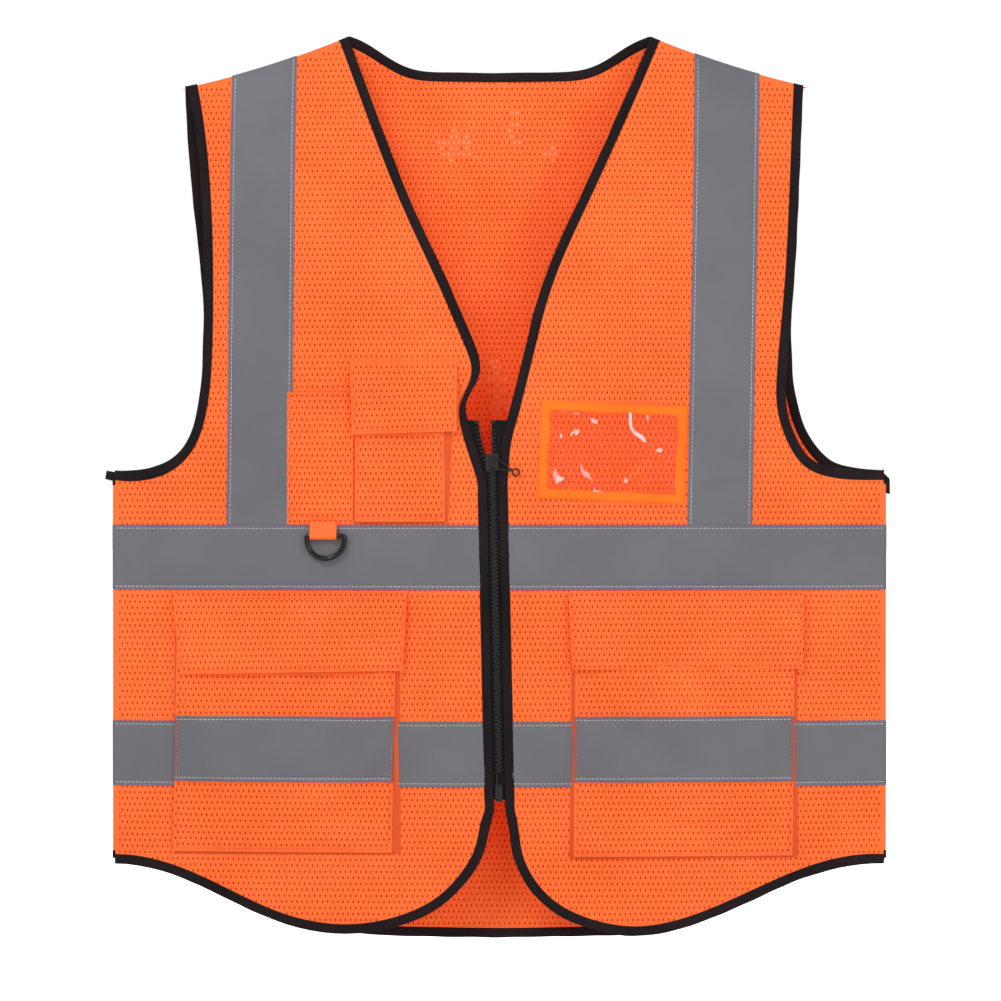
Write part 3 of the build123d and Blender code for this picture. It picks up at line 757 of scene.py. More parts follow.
# name: darker and lighter dye, rib spacing in mm (across, up), sheen, roughness, and what else differs
CLOTHS = {
    "mesh": ((0.90, 0.162, 0.036), (0.99, 0.205, 0.049), (0.55, 0.4), 0.08, 0.85, {"glow": 0.14}),
    # dark web in the holes: painted shade, with a little painted glow
    "mesh_web": (
        (0.52, 0.026, 0.001), (0.66, 0.038, 0.002), (0.4, 0.4), 0.0, 1.0, {"glow": 0.05, "shine": 0.0},
    ),
    # pale web in a few holes of the back: painted light coming through
    "mesh_glint": ((0.95, 0.36, 0.22), (1.0, 0.52, 0.36), (0.4, 0.4), 0.0, 0.9, {}),
    # a darker copy of the mesh for the gussets: painted shade
    "mesh_fold": ((0.80, 0.098, 0.022), (0.90, 0.125, 0.030), (0.55, 0.4), 0.08, 0.85, {}),
    "binding": ((0.006, 0.004, 0.005), (0.019, 0.010, 0.012), (0.6, 0.6), 0.02, 0.7, {"shine": 0.16}),
    "tape_edge": ((0.165, 0.148, 0.200), (0.21, 0.185, 0.25), (0.5, 0.5), 0.05, 0.7, {}),
    "zip_tape": ((0.004, 0.004, 0.005), (0.010, 0.009, 0.011), (0.5, 0.9), 0.02, 0.75, {"shine": 0.15}),
    "id_frame": (
        (0.92, 0.185, 0.010), (1.0, 0.235, 0.014), (0.8, 0.8), 0.08, 0.75, {"depth": 0.2 * MM, "glow": 0.13},
    ),
    "tape_thread": ((0.62, 0.56, 0.60), (0.86, 0.80, 0.84), (0.3, 0.3), 0.1, 0.6, {}),
    "orange_thread": ((0.80, 0.10, 0.03), (0.95, 0.16, 0.06), (0.3, 0.3), 0.1, 0.6, {"glow": 0.1}),
    "black_thread": ((0.006, 0.005, 0.006), (0.018, 0.012, 0.014), (0.3, 0.3), 0.02, 0.6, {"shine": 0.2}),
}
MAT = {name: cloth_material(name, *spec, **extra) for name, (*spec, extra) in CLOTHS.items()}
MAT |= {
    "reflective_tape": reflective_material(),
    "hook_and_loop": fuzzy_material(),
    "vinyl": vinyl_material(),
    "zip_plastic": gloss_material("zip_plastic", (0.006, 0.006, 0.007), 0.24),
    "ring_plastic": gloss_material("ring_plastic", (0.005, 0.005, 0.006), 0.14, scratch=0.1),
    "zip_metal": gloss_material("zip_metal", (0.008, 0.008, 0.009), 0.25),
}


def dress(piece, slot, body, *nodes, twist=False):
    """Ties a finished piece to its body, or with twist bakes its place in instead, and hides its CAD nodes;
    slot is not used.
    """
    if twist:
        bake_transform(piece)
    else:
        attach(piece, body)
    if nodes:
        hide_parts(*nodes)
    return piece


# ------------------------------------------------------------------ cloth panels
def clamp_to_seams(ring):
    """Keeps an outline inside the side seams and under the shoulder seam."""
    x = np.clip(ring[:, 0], -SEAM_X, SEAM_X)
    return np.stack([x, np.minimum(ring[:, 1], shoulder_z(x))], 1)


def under_bindings(ring, bindings, reach):
    """An outline pushed outwards wherever a binding covers its edge, so the cloth runs into the fold."""
    ring = corner_kept(ring, 4 * MM)
    along = np.roll(ring, -1, axis=0) - np.roll(ring, 1, axis=0)
    normal = np.stack([along[:, 1], -along[:, 0]], 1)
    normal /= np.maximum(np.linalg.norm(normal, axis=1), 1e-9)[:, None]
    turning = (ring[:, 0] * np.roll(ring[:, 1], -1) - np.roll(ring[:, 0], -1) * ring[:, 1]).sum()
    near = np.min([distance_to(b, ring) for b in bindings], axis=0) < 0.8 * MM
    return clamp_to_seams(ring + normal * (np.sign(turning) * reach * near)[:, None])


def covered(name):
    """Outlines on one front where tape hides the cloth: no holes are cut there."""
    level = [ring_of(f"{name}_front_{level}_tape", -1.5 * MM) for level in LEVELS]
    return level + [loops_of(f"{name}_front_shoulder_tape", FRONT)[0]]


def back_zone(x, z):
    """The back is made in five pieces that meet along the rows of holes."""
    if z < LOWER_MIDDLE:
        return "hem"
    if z < UPPER_MIDDLE:
        return "waist"
    return "yoke" if abs(x) < YOKE_SPLIT else ("yoke_right" if x < 0 else "yoke_left")


def painted_web_at(x, z):
    """Holes on the back are closed: dark webs paint their shade, and pale webs in a few patches paint the
    light coming through.
    """
    painted_light_here = any(math.hypot((x - cx) / rx, (z - cz) / rz) < 1 for cx, cz, rx, rz in PAINTED_LIGHT_PATCHES)
    return "mesh_glint" if painted_light_here and math.sin(x * 9100) + math.sin(z * 7700) > -0.5 else "mesh_web"


def make_panels():
    for name in SIDES:
        node = f"{name}_front_panel"
        bindings = [loops_of(f"{name}_front_{b}_binding", FRONT)[0] for b in ("edge", "armhole")]
        ring = under_bindings(loops_of(node, FRONT)[0], bindings, BIND_REACH)
        for panel in perforated(node, ring, FRONT, 0, CLOTH, BIND_REACH + 0.4 * MM, covered(name)):
            dress(panel, "mesh", f"{name}_front", node, twist=True)
    hidden = [ring_of(f"back_{level}_tape", -1.5 * MM) for level in LEVELS]
    hidden += [loops_of(f"{name}_back_shoulder_tape", BACK)[0] for name in SIDES]
    bindings = [loops_of(n, BACK)[0] for n in BACK_BINDINGS]
    ring = under_bindings(loops_of("back_panel", BACK)[0], bindings, BIND_REACH)
    for panel in perforated("back_panel", ring, BACK, 0, CLOTH, BIND_REACH + 0.4 * MM, hidden,
                            rise=MESH_UP / 2, webbed=painted_web_at, zones=back_zone):
        dress(panel, "mesh", "back", "back_panel")


# ---------------------------------------------------------------------- bindings
def corner_indices(ring):
    """Where an outline turns by more than 50 degrees."""
    before = ring - np.roll(ring, 1, axis=0)
    after = np.roll(ring, -1, axis=0) - ring
    cross = before[:, 0] * after[:, 1] - before[:, 1] * after[:, 0]
    return np.flatnonzero(np.abs(np.arctan2(cross, (before * after).sum(1))) > math.radians(50))


def band_sides(ring):
    """The two long sides of a narrow band's outline, both running the same way."""
    corners = corner_indices(ring)
    chains = []
    for a, b in zip(corners, np.roll(corners, -1)):
        picks = np.arange(a, b + 1 if b > a else b + 1 + len(ring)) % len(ring)
        chains.append(ring[picks])
    first, second = sorted(chains, key=path_length)[-2:]
    return first, second[::-1]


def folded_band(name, inner, outer, face, squeeze=None):
    """Binding tape folded over the cloth's edge: inner and outer are its two sides, in (x, z).
    squeeze gives the share of its width that is left at each place, where it rolls up."""
    middle = (inner + outer) / 2
    half = (outer - inner) / 2
    seed = sum(map(ord, name))
    tight = squeeze(middle) if squeeze else np.ones(len(middle))
    wobble = 0.06 * swell_noise(*middle.T, seed, 0.03)
    pucker = 0.10 * swell_noise(*middle.T, seed + 1, 0.009)
    rails = []
    for place_across, lift in FOLDED_BAND:
        across = (place_across + wobble * (place_across > 0.5)) * tight
        rise = lift + pucker * (lift > 0.6) + ROLL_UP * (1 - tight)
        rails.append(on_cloth(face, middle + half * across[:, None], rise * MM))
    seam = inner + (outer - inner) * 0.17
    return skin(name, rails, MAT["binding"], 60), on_cloth(face, seam, 1.0 * MM)


def binding_edges(node, face, panel):
    """The inner and outer sides of a bound edge, evenly stepped."""
    a, b = band_sides(loops_of(node, face)[0])
    cloth = loops_of(panel, face)[0]
    outer, inner = (a, b) if distance_to(cloth, a).mean() > distance_to(cloth, b).mean() else (b, a)
    count = round(path_length(outer) / (2.4 * MM))
    return evenly(inner, count), evenly(outer, count)


def pinched_at_throat(middle):
    """The right neck edge rolls up and narrows just above the zip."""
    close = np.exp(-(((middle[:, 1] - THROAT_Z) / (16 * MM)) ** 2)) * (middle[:, 0] > -0.06)
    return 1 - 0.5 * close


def make_binding(node, face, body, panel, twist):
    inner, outer = binding_edges(node, face, panel)
    squeeze = pinched_at_throat if node == "right_front_edge_binding" else None
    piece, seam = folded_band(node, inner, outer, face, squeeze)
    dress(piece, "binding", body, node, twist=twist)
    thread = stitches(f"{node}_stitches", [seam], face, "black_thread")
    dress(thread, "binding", body, twist=twist)


def make_bindings():
    for node in BACK_BINDINGS:
        make_binding(node, BACK, "back", "back_panel", False)
    for name in SIDES:
        for edge in ("edge", "armhole"):
            make_binding(f"{name}_front_{edge}_binding", FRONT, f"{name}_front", f"{name}_front_panel", True)


def make_tails():
    """The cut ends of the armhole bindings, which stick out past the side seams."""
    for name, (inner, outer) in TAILS.items():
        sides = [evenly(np.array(side), 9) for side in (inner, outer)]
        dress(folded_band(f"{name}_armhole_tail", *sides, BACK)[0], "binding", "back")


# -------------------------------------------------------------------------- tapes
def tape_rows(width):
    """Fractions across a tape: close together at its two stitch lines."""
    near = np.array([0, 0.7, 1.5, 2.1, 2.6, 3.1, 3.8, 5.0, 8.0, 13.0]) * MM
    return np.concatenate([near / width, [0.5], 1 - near[::-1] / width])


def tape_flat(corners, step):
    """A grid of (x, z) points on a straight band: corners run start-low, end-low, end-high, start-high."""
    a, b, c, d = (np.array(p, float) for p in corners)
    width = np.linalg.norm(d - a)
    count = max(8, round(np.linalg.norm(b - a) / step))
    t = np.linspace(0, 1, count)[None, :, None]
    f = tape_rows(width)[:, None, None]
    return (a + (b - a) * t) * (1 - f) + (d + (c - d) * t) * f, width


def tape_lift(flat, width, seed, puff):
    """How far the tape's face stands off: pulled in along its stitch lines, puffed between."""
    rows = tape_rows(width)
    inset = np.minimum(rows, 1 - rows) * width
    dip = np.exp(-(((inset - STITCH_INSET) / (1.1 * MM)) ** 2))[:, None]
    x, z = flat[..., 0], flat[..., 1]
    body = 0.6 + 0.4 * swell_noise(x, z, seed, 0.035)
    gathers = 0.16 * MM * swell_noise(x, z, seed + 3, 0.011) * np.exp(-(inset / (9 * MM)) ** 2)[:, None]
    along = np.linspace(0, 1, flat.shape[1])[None, :]
    ends = np.clip(np.minimum(along, 1 - along) * 40, 0, 1)
    return (puff * (1 - dip) * body + gathers) * ends


def make_tape(node, corners, face, body, base=lambda x, z: CLOTH + 0 * x, top_curve=False, twist=False):
    """A reflective tape with its two rows of stitching."""
    flat, width = tape_flat(corners, 3 * MM)
    if top_curve:
        share = np.linspace(0, 1, flat.shape[1])[None, :] ** 6
        flat[..., 1] += share * (shoulder_z(flat[:, -1:, 0]) - flat[:, -1:, 1])
    seed = sum(map(ord, node))
    low = base(flat[..., 0], flat[..., 1])
    lift = low + 0.03 * MM + TAPE + tape_lift(flat, width, seed, 0.42 * MM)
    piece = grid_sheet(node, flat, face, low + 0.02 * MM, lift, "reflective_tape")
    piece.data.materials.append(MAT["tape_edge"])
    paint_edges(piece, flat.shape[:2])
    dress(piece, "reflective_tape", body, node, twist=twist)
    rows = tape_rows(width)
    picks = [int(np.argmin(np.abs(rows * width - d))) for d in (STITCH_INSET, width - STITCH_INSET)]
    paths = [on_cloth(face, flat[i], lift[i] + 0.12 * MM) for i in picks]
    thread = stitches(f"{node}_stitches", paths, face, "tape_thread")
    dress(thread, "reflective_tape", body, twist=twist)


def paint_edges(piece, shape):
    """Gives the narrow strips outside a tape's stitching, and its cut edges, the second material."""
    rows, columns = shape
    top = (rows - 1) * (columns - 1)
    for polygon in piece.data.polygons:
        row = (polygon.index % top) // (columns - 1) if polygon.index < 2 * top else 0
        polygon.material_index = int(row < EDGE_ROWS or row >= rows - 1 - EDGE_ROWS)


def band_corners(node):
    """Corners of a level band from one side seam to the other."""
    low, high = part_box(node)
    return [(-SEAM_X, low.z), (SEAM_X, low.z), (SEAM_X, high.z), (-SEAM_X, high.z)]


def fitted_corners(node, sign):
    """Corners of a front tape, from the side seam to just under the slanting zip-edge binding."""
    low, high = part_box(node)
    ring = loops_of(node, FRONT)[0]
    ends = []
    for level in (low.z, high.z):
        edge = ring[np.abs(ring[:, 1] - level) < 0.3 * MM]
        ends.append(sign * np.min(sign * edge[:, 0]) - sign * 1.2 * MM)
    return [(sign * SEAM_X, low.z), (ends[0], low.z), (ends[1], high.z), (sign * SEAM_X, high.z)]


def slanted_corners(node, face):
    """Corners of a shoulder tape: foot-left, top-left, top-right, foot-right, read off its outline."""
    ring = loops_of(node, face)[0]
    foot = ring[:, 1].min()
    feet = ring[np.abs(ring[:, 1] - foot) < 0.5 * MM]
    tops = ring[ring[:, 1] > ring[:, 1].max() - 18 * MM]
    left, right = tops[tops[:, 0].argmin()], tops[tops[:, 0].argmax()]
    return [(feet[:, 0].min(), foot), tuple(left), tuple(right), (feet[:, 0].max(), foot)]


def make_tapes():
    for level in LEVELS:
        make_tape(f"back_{level}_tape", band_corners(f"back_{level}_tape"), BACK, "back")
        for name, sign in SIDES.items():
            node = f"{name}_front_{level}_tape"
            make_tape(node, fitted_corners(node, sign), FRONT, f"{name}_front")
    for name in SIDES:
        for part, face in FACES.items():
            node = f"{name}_{part}_shoulder_tape"
            body = f"{name}_front" if face == FRONT else "back"
            make_tape(node, slanted_corners(node, face), face, body, top_curve=True, twist=face == FRONT)


# --------------------------------------------------------------------- seam rolls
def tube(name, path, radius, slot, closed=False, sides=10):
    """A round bar swept along a 3-D path."""
    path = np.asarray(path, float)
    ahead = np.roll(path, -1, axis=0) - np.roll(path, 1, axis=0) if closed else np.gradient(path, axis=0)
    ahead /= np.linalg.norm(ahead, axis=1)[:, None]
    side = np.cross(ahead, np.array([0, 1.0, 0.03]))
    side /= np.linalg.norm(side, axis=1)[:, None]
    up = np.cross(side, ahead)
    turns = np.linspace(0, math.tau, sides + 1)[:-1]
    rails = [path + (side * math.cos(turn) + up * math.sin(turn)) * radius for turn in turns]
    return skin(name, rails, MAT[slot], 60, closed)


def make_rolls():
    """The cloth, the tapes and the bindings turning over the shoulder and side seams."""
    for name, sign in SIDES.items():
        def over_shoulder(part, near, far, drop, radius, slot, count):
            xs = np.linspace(near, far, count)
            path = np.stack([xs, 0 * xs, shoulder_z(xs) - drop], 1)
            dress(tube(f"{name}_{part}", path, radius, slot), slot, "back")

        def down_side(part, top, foot, radius, slot, count, sides=14):
            zs = np.linspace(top, foot, count)
            path = np.stack([0 * zs + sign * (SEAM_X + 0.35 * MM), 0 * zs, zs], 1)
            dress(tube(f"{name}_{part}", path, radius, slot, sides=sides), slot, "back")

        inner, outer = SHOULDER_ENDS[name]
        over_shoulder("shoulder_roll", sign * inner, sign * outer, 0.2 * MM, 0.88 * MM, "mesh", 40)
        edges = [slanted_corners(f"{name}_{part}_shoulder_tape", face) for part, face in FACES.items()]
        near, far = min(c[1][0] for c in edges), max(c[2][0] for c in edges)
        over_shoulder("shoulder_tape_roll", near, far, 0.1 * MM, 1.4 * MM, "reflective_tape", 24)
        for near, far in ((inner - 7.2 * MM, inner), (outer, outer + 7.2 * MM)):
            part = f"binding_roll_{round(near / MM)}"
            over_shoulder(part, sign * near, sign * far, 0.5 * MM, 1.5 * MM, "binding", 8)
        top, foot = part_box(f"{name}_front_armhole_binding")[0].z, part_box("back_hem_binding")[1].z
        down_side("side_roll", top - 0.5 * MM, foot + 0.5 * MM, 1.25 * MM, "mesh", 90)
        for end in (top, foot):
            part = f"side_binding_roll_{round(end / MM)}"
            down_side(part, end - 3 * MM, end + 3 * MM, 1.6 * MM, "binding", 8, 10)
        for level in LEVELS:
            low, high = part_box(f"back_{level}_tape")
            down_side(f"{level}_tape_roll", low.z, high.z, 1.6 * MM, "reflective_tape", 16)


# ------------------------------------------------------- pocket faces and flaps
def settled(wide, tall, open_side, seed):
    """Cloth simulation of one slack pocket face, sewn on every side but open_side.
    Returns its rise, in metres, on a grid of places across (0 to 1) and up (0 to 1)."""
    columns, rows = 34, 34
    u, v = np.meshgrid(np.linspace(0, 1, columns), np.linspace(0, 1, rows))
    start = 0.6 * MM * swell_noise(u * wide, v * tall, seed, 0.06)
    mesh = bpy.data.meshes.new("settling")
    corners = [(r * columns + c) for r in range(rows - 1) for c in range(columns - 1)]
    mesh.from_pydata([tuple(p) for p in np.stack([u * wide, -start, v * tall], 2).reshape(-1, 3)], [],
                     [(a, a + 1, a + columns + 1, a + columns) for a in corners])
    sheet = bpy.data.objects.new("settling", mesh)
    bpy.context.scene.collection.objects.link(sheet)
    held = (u < 0.01) | (u > 0.99) | (v < 0.01 if open_side == "top" else v > 0.99)
    pins = sheet.vertex_groups.new(name="sewn")
    pins.add([int(i) for i in np.flatnonzero(held.reshape(-1))], 1.0, "REPLACE")
    cloth = sheet.modifiers.new("Cloth", "CLOTH")
    cloth.settings.vertex_group_mass = "sewn"
    cloth.settings.quality = 6
    cloth.settings.mass = 0.12
    cloth.settings.tension_stiffness = 12
    cloth.settings.compression_stiffness = 12
    cloth.settings.bending_stiffness = 0.35
    cloth.settings.shrink_min = -0.012
    cloth.settings.use_pressure = True
    cloth.settings.uniform_pressure_force = 0.25
    cloth.settings.effector_weights.gravity = 0.25
    cloth.point_cache.frame_start = 1
    cloth.point_cache.frame_end = 24
    scene = bpy.context.scene
    for moment in range(1, 25):
        scene.frame_set(moment)
    shaped = sheet.evaluated_get(bpy.context.evaluated_depsgraph_get()).to_mesh()
    places = np.array([p.co for p in shaped.vertices])
    scene.frame_set(1)
    bpy.data.objects.remove(sheet)
    return np.clip(-places[:, 1].reshape(rows, columns), -3 * MM, 3 * MM)


def field_over(box, rises):
    """A lift function of (x, z) that reads a settled grid stretched over a box."""
    low, high = box
    rows, columns = rises.shape

    def lift(x, z):
        c = np.clip((x - low[0]) / (high[0] - low[0]), 0, 1) * (columns - 1)
        r = np.clip((z - low[1]) / (high[1] - low[1]), 0, 1) * (rows - 1)
        c0, r0 = np.minimum(c.astype(int), columns - 2), np.minimum(r.astype(int), rows - 2)
        fc, fr = c - c0, r - r0
        near = rises[r0, c0] * (1 - fc) + rises[r0, c0 + 1] * fc
        far = rises[r0 + 1, c0] * (1 - fc) + rises[r0 + 1, c0 + 1] * fc
        return near * (1 - fr) + far * fr

    return lift


def edge_distance(box, x, z):
    """Distance in from the left, right and bottom of a box."""
    (x0, z0), (x1, _) = box
    return np.minimum.reduce([x - x0, x1 - x, z - z0])


def flat_box(node, grow=0.0):
    low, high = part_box(node)
    return (low.x - grow, low.z - grow), (high.x + grow, high.z + grow)


def cloth_patch(name, box, height, rise, blocked=()):
    """A rectangle of mesh cloth standing height(x, z) off the panel, and a function for its top."""
    def high(x, z):
        return height(x, z) + CLOTH

    (x0, z0), (x1, z1) = box
    ring = box_ring(x0, x1, z0, z1)
    piece, = perforated(name, ring, FRONT, height, high, 1.5 * MM, blocked, rise, 3.5 * MM)
    return piece, high


def u_path(box, out, count):
    """A path down the left, along the bottom and up the right of a box grown by out."""
    (x0, z0), (x1, z1) = box
    legs = [np.linspace((x0 - out, z1), (x0 - out, z0 - out), count)[:-1],
            np.linspace((x0 - out, z0 - out), (x1 + out, z0 - out), count)[:-1],
            np.linspace((x1 + out, z0 - out), (x1 + out, z1), count)]
    return np.vstack(legs)


def lean_shift(box, corners, flat):
    """The (x, z) shift at each flat place when a box's corners move as given, in mm of (x, z):
    lower left, lower right, upper left, upper right."""
    (x0, z0), (x1, z1) = box
    u = np.clip((flat[:, 0] - x0) / (x1 - x0), 0, 1)[:, None]
    v = np.clip((flat[:, 1] - z0) / (z1 - z0), 0, 1)[:, None]
    a, b, c, d = (np.array(p) * MM for p in corners)
    return (a * (1 - u) + b * u) * (1 - v) + (c * (1 - u) + d * u) * v


def gusset(node, body, box, height):
    """A folded side wall round three sides of a pocket, from its foot on the panel to the pocket's rim."""
    rails = []
    for side in (1, -1):
        for out, lift, share in GUSSET_FOLD[::side]:
            flat = u_path(box, out * MM, 40)
            within = np.clip(flat, *box)
            rise = lift * MM if lift else height(*within.T) - 0.1 * MM
            foot = lean_shift(box, SPREADING[node], flat)
            moved = flat + lean_shift(box, LEANING[node], flat) * share + foot * (1 - share)
            rails.append(on_cloth(FRONT, moved, rise + side * 0.17 * MM))
    # the gusset wears the darker mesh copy, as painted shade
    dress(skin(f"{node}_gusset", rails, MAT["mesh_fold"]), "mesh", body, f"{node}_gusset")


def lean(piece, box, corners):
    """Shifts a flat piece over the cloth as lean_shift says, keeping its height off the panel."""
    places = np.array([v.co for v in piece.data.vertices])
    flat = places[:, ::2]
    moved = flat + lean_shift(box, corners, flat)
    places[:, 1] += cloth_y(FRONT, *moved.T) - cloth_y(FRONT, *flat.T)
    places[:, ::2] = moved
    piece.data.vertices.foreach_set("co", places.reshape(-1))
    piece.data.update()
    return piece


def sew_patch(name, slot, body, box, skew, high, lines):
    """Rows of orange stitches on a leaning patch."""
    paths = []
    for start, end in lines:
        line = np.array([start, end], float)
        flat = evenly(line, max(2, round(path_length(line) / (2 * MM))) + 1)
        paths.append(on_cloth(FRONT, flat, high(*flat.T) + 0.05 * MM))
    dress(lean(stitches(name, paths, FRONT, "orange_thread"), box, skew), slot, body)


def u_lines(box, inset, top):
    """Sewing lines down the left, up the right and along the bottom of a box."""
    (x0, z0), (x1, _) = box
    left, right, foot = x0 + inset, x1 - inset, z0 + inset
    return [((left, top), (left, foot)), ((right, foot), (right, top)), ((left, foot), (right, foot))]


def make_bag(node, body, seed, shape, blocked=()):
    """A bellows pocket: leaning mesh face, its stitching and its folded gusset.
    shape is rim, base, crown, power, press, slackness and inset, in mm where they are lengths."""
    rim, base, crown, power, press, slackness, inset = shape
    box = flat_box(node, 1.2 * MM)
    (x0, z0), (x1, z1) = box
    slack = field_over(box, settled(x1 - x0, z1 - z0, "top", seed))
    flap_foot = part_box(f"{node}_flap")[0].z

    def height(x, z):
        edge = np.clip(edge_distance(box, x, z) / (rim * MM), 0, 1)
        pressed = np.clip((z - flap_foot) / (12 * MM), 0, 1)
        fullness = slackness * slack(x, z) * (1 - 0.9 * pressed)
        return (base + crown * edge**power - press * pressed) * MM + fullness

    piece, high = cloth_patch(node, box, height, MESH_UP * 0.5, blocked)
    dress(lean(piece, box, LEANING[node]), "mesh", body, node)
    sew_patch(f"{node}_stitches", "mesh", body, box, LEANING[node], high, u_lines(box, inset * MM, z1))
    gusset(node, body, box, height)
    make_patch(f"{node}_loop_patch", body, lambda x, z: high(x, z) - 0.45 * MM, 0.6 * MM)
    return box, high


def make_pocket_tape(node, body, box, high):
    """The strip of reflective tape across a lower pocket, sewn down at its two ends as well."""
    (x0, _), (x1, _) = box
    low, top = (corner.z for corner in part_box(f"{node}_tape"))
    ends = np.array([(x0, low), (x1, low), (x1, top), (x0, top)])
    corners = ends + lean_shift(box, LEANING[node], ends) * (1, 0)
    make_tape(f"{node}_tape", corners, FRONT, body, base=lambda x, z: high(x, z) + 0.5 * MM)
    rows = [((x, low), (x, top)) for x in (x0 + 1.6 * MM, x1 - 1.6 * MM)]
    sew_patch(f"{node}_side_stitches", "mesh", body, box, LEANING[node],
              lambda x, z: high(x, z) + TAPE + 0.85 * MM, rows)


def make_flap(pocket, body, panel_body, seed):
    """A pocket flap: sewn to the panel along its top, folded over the pocket, sewn on three sides."""
    node = f"{pocket}_flap"
    box = flat_box(node)
    (x0, z0), (x1, z1) = box
    slack = field_over(box, settled(x1 - x0, z1 - z0, "bottom", seed))
    hook_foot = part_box(f"{pocket}_hook_patch")[0].z

    def height(x, z):
        drop = np.clip((z1 - z) / (13 * MM), 0, 1)
        reach = np.clip((z1 - z) / (z1 - hook_foot), 0, 1)
        return (0.9 + 5.5 * drop * drop * (3 - 2 * drop)) * MM + 0.6 * slack(x, z) * reach

    piece, high = cloth_patch(node, box, height, MESH_UP * 0.25)
    lean(piece, box, LEANING[node])
    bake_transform(piece)
    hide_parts(node)
    lines = u_lines(box, 2.2 * MM, z1 - 9.5 * MM)
    sew_patch(f"{node}_stitches", "mesh", body, box, LEANING[node], high, lines)
    row = [((x0 + MM, z1 - 1.2 * MM), (x1 - MM, z1 - 1.2 * MM))]
    sew_patch(f"{node}_top_stitches", "mesh", panel_body, box, LEANING[node], high, row)
    make_patch(f"{pocket}_hook_patch", body, lambda x, z: height(x, z) - 0.75 * MM, 0.7 * MM)


def make_patch(node, body, lift, thick):
    """A hook-and-loop patch."""
    def high(x, z):
        return lift(x, z) + thick

    piece = plain_sheet(node, ring_of(node), FRONT, lift, high, "hook_and_loop", 3 * MM)
    dress(piece, "hook_and_loop", body, node)


def make_pockets():
    for name in SIDES:
        node = f"{name}_lower_pocket"
        body = f"{name}_front"
        tape_box = ring_of(f"{node}_tape", -1.2 * MM)
        box, high = make_bag(node, body, 11 + len(name), (14, 2.6, 1.5, 0.7, 0.6, 0.8, 2.6), [tape_box])
        make_pocket_tape(node, body, box, high)
        make_flap(node, f"{name}_flap", body, 21 + len(name))
    make_bag("phone_pocket", "right_front", 41, (10, 2.4, 1.6, 1.0, 0.5, 1.0, 2.0))
    make_flap("phone_pocket", "phone_flap", "right_front", 51)
    make_pen_pocket()


def make_pen_pocket():
    """A flat open pocket beside the phone pocket, part way under it."""
    box = flat_box("pen_pocket", 0.2 * MM)
    (x0, z0), (x1, z1) = box
    slack = field_over(box, settled(x1 - x0, z1 - z0, "top", 31))

    def height(x, z):
        edge = np.clip(edge_distance(box, x, z) / (9 * MM), 0, 1)
        return 0.7 * MM + 1.3 * MM * edge + 0.5 * slack(x, z) * edge

    piece, high = cloth_patch("pen_pocket", box, height, MESH_UP * 0.5)
    dress(piece, "mesh", "right_front", "pen_pocket")
    side, foot, hem = x0 + 1.6 * MM, z0 + 2 * MM, z1 - 3.3 * MM
    lines = [((side, z1), (side, foot)), ((side, foot), (x1, foot)), ((x0, hem), (x1, hem))]
    sew_patch("pen_pocket_stitches", "mesh", "right_front", box, ((0, 0),) * 4, high, lines)


# ---------------------------------------------------------------------- ID pocket
def make_id_pocket():
    """A see-through card window held by a ribbed frame of four mitred strips."""
    outer, inner = (corners_of(r) for r in loops_of("id_pocket_frame", FRONT))
    across = np.linspace(0, 1, 13)
    dome = CLOTH + (0.5 + 0.45 * np.sin(np.pi * across) ** 0.5) * MM
    dome[[1, -2]] -= 0.2 * MM
    along = np.linspace(0, 1, 36)[None, :, None]
    share = across[:, None, None]
    for i in range(4):
        n = (i + 1) % 4
        far = outer[i] * (1 - along) + outer[n] * along
        near = inner[i] * (1 - along) + inner[n] * along
        flat = far * (1 - share) + near * share
        lift = dome[:, None] + 0.15 * MM * swell_noise(flat[..., 0], flat[..., 1], 60 + i, 0.02)
        name = f"id_pocket_frame_{i + 1}"
        strip = grid_sheet(name, flat, FRONT, CLOTH + 0 * lift, lift, "id_frame")
        dress(strip, "id_frame", "left_front", "id_pocket_frame")
        rows = [on_cloth(FRONT, flat[k], lift[k] + 0.08 * MM) for k in (1, -2)]
        dress(stitches(f"{name}_stitches", rows, FRONT, "orange_thread"), "id_frame", "left_front")

    def ripple(x, z):
        return CLOTH + (0.75 + 0.5 * swell_noise(x, z, 77, 0.028) + 0.12 * swell_noise(x, z, 78, 0.008)) * MM

    away = inner - inner.mean(0)
    tucked = inner.mean(0) + away * (1 + 2.5 * MM / np.linalg.norm(away, axis=1))[:, None]
    sheet = plain_sheet("id_pocket_window", tucked, FRONT, lambda x, z: ripple(x, z) - 0.2 * MM,
                        ripple, "vinyl", 1.6 * MM)
    dress(sheet, "vinyl", "left_front", "id_pocket_window")


def corners_of(ring):
    """The corner points of an outline, in order round their middle."""
    corners = ring[corner_indices(ring)]
    away = corners - corners.mean(0)
    return corners[np.argsort(np.arctan2(away[:, 1], away[:, 0]))]


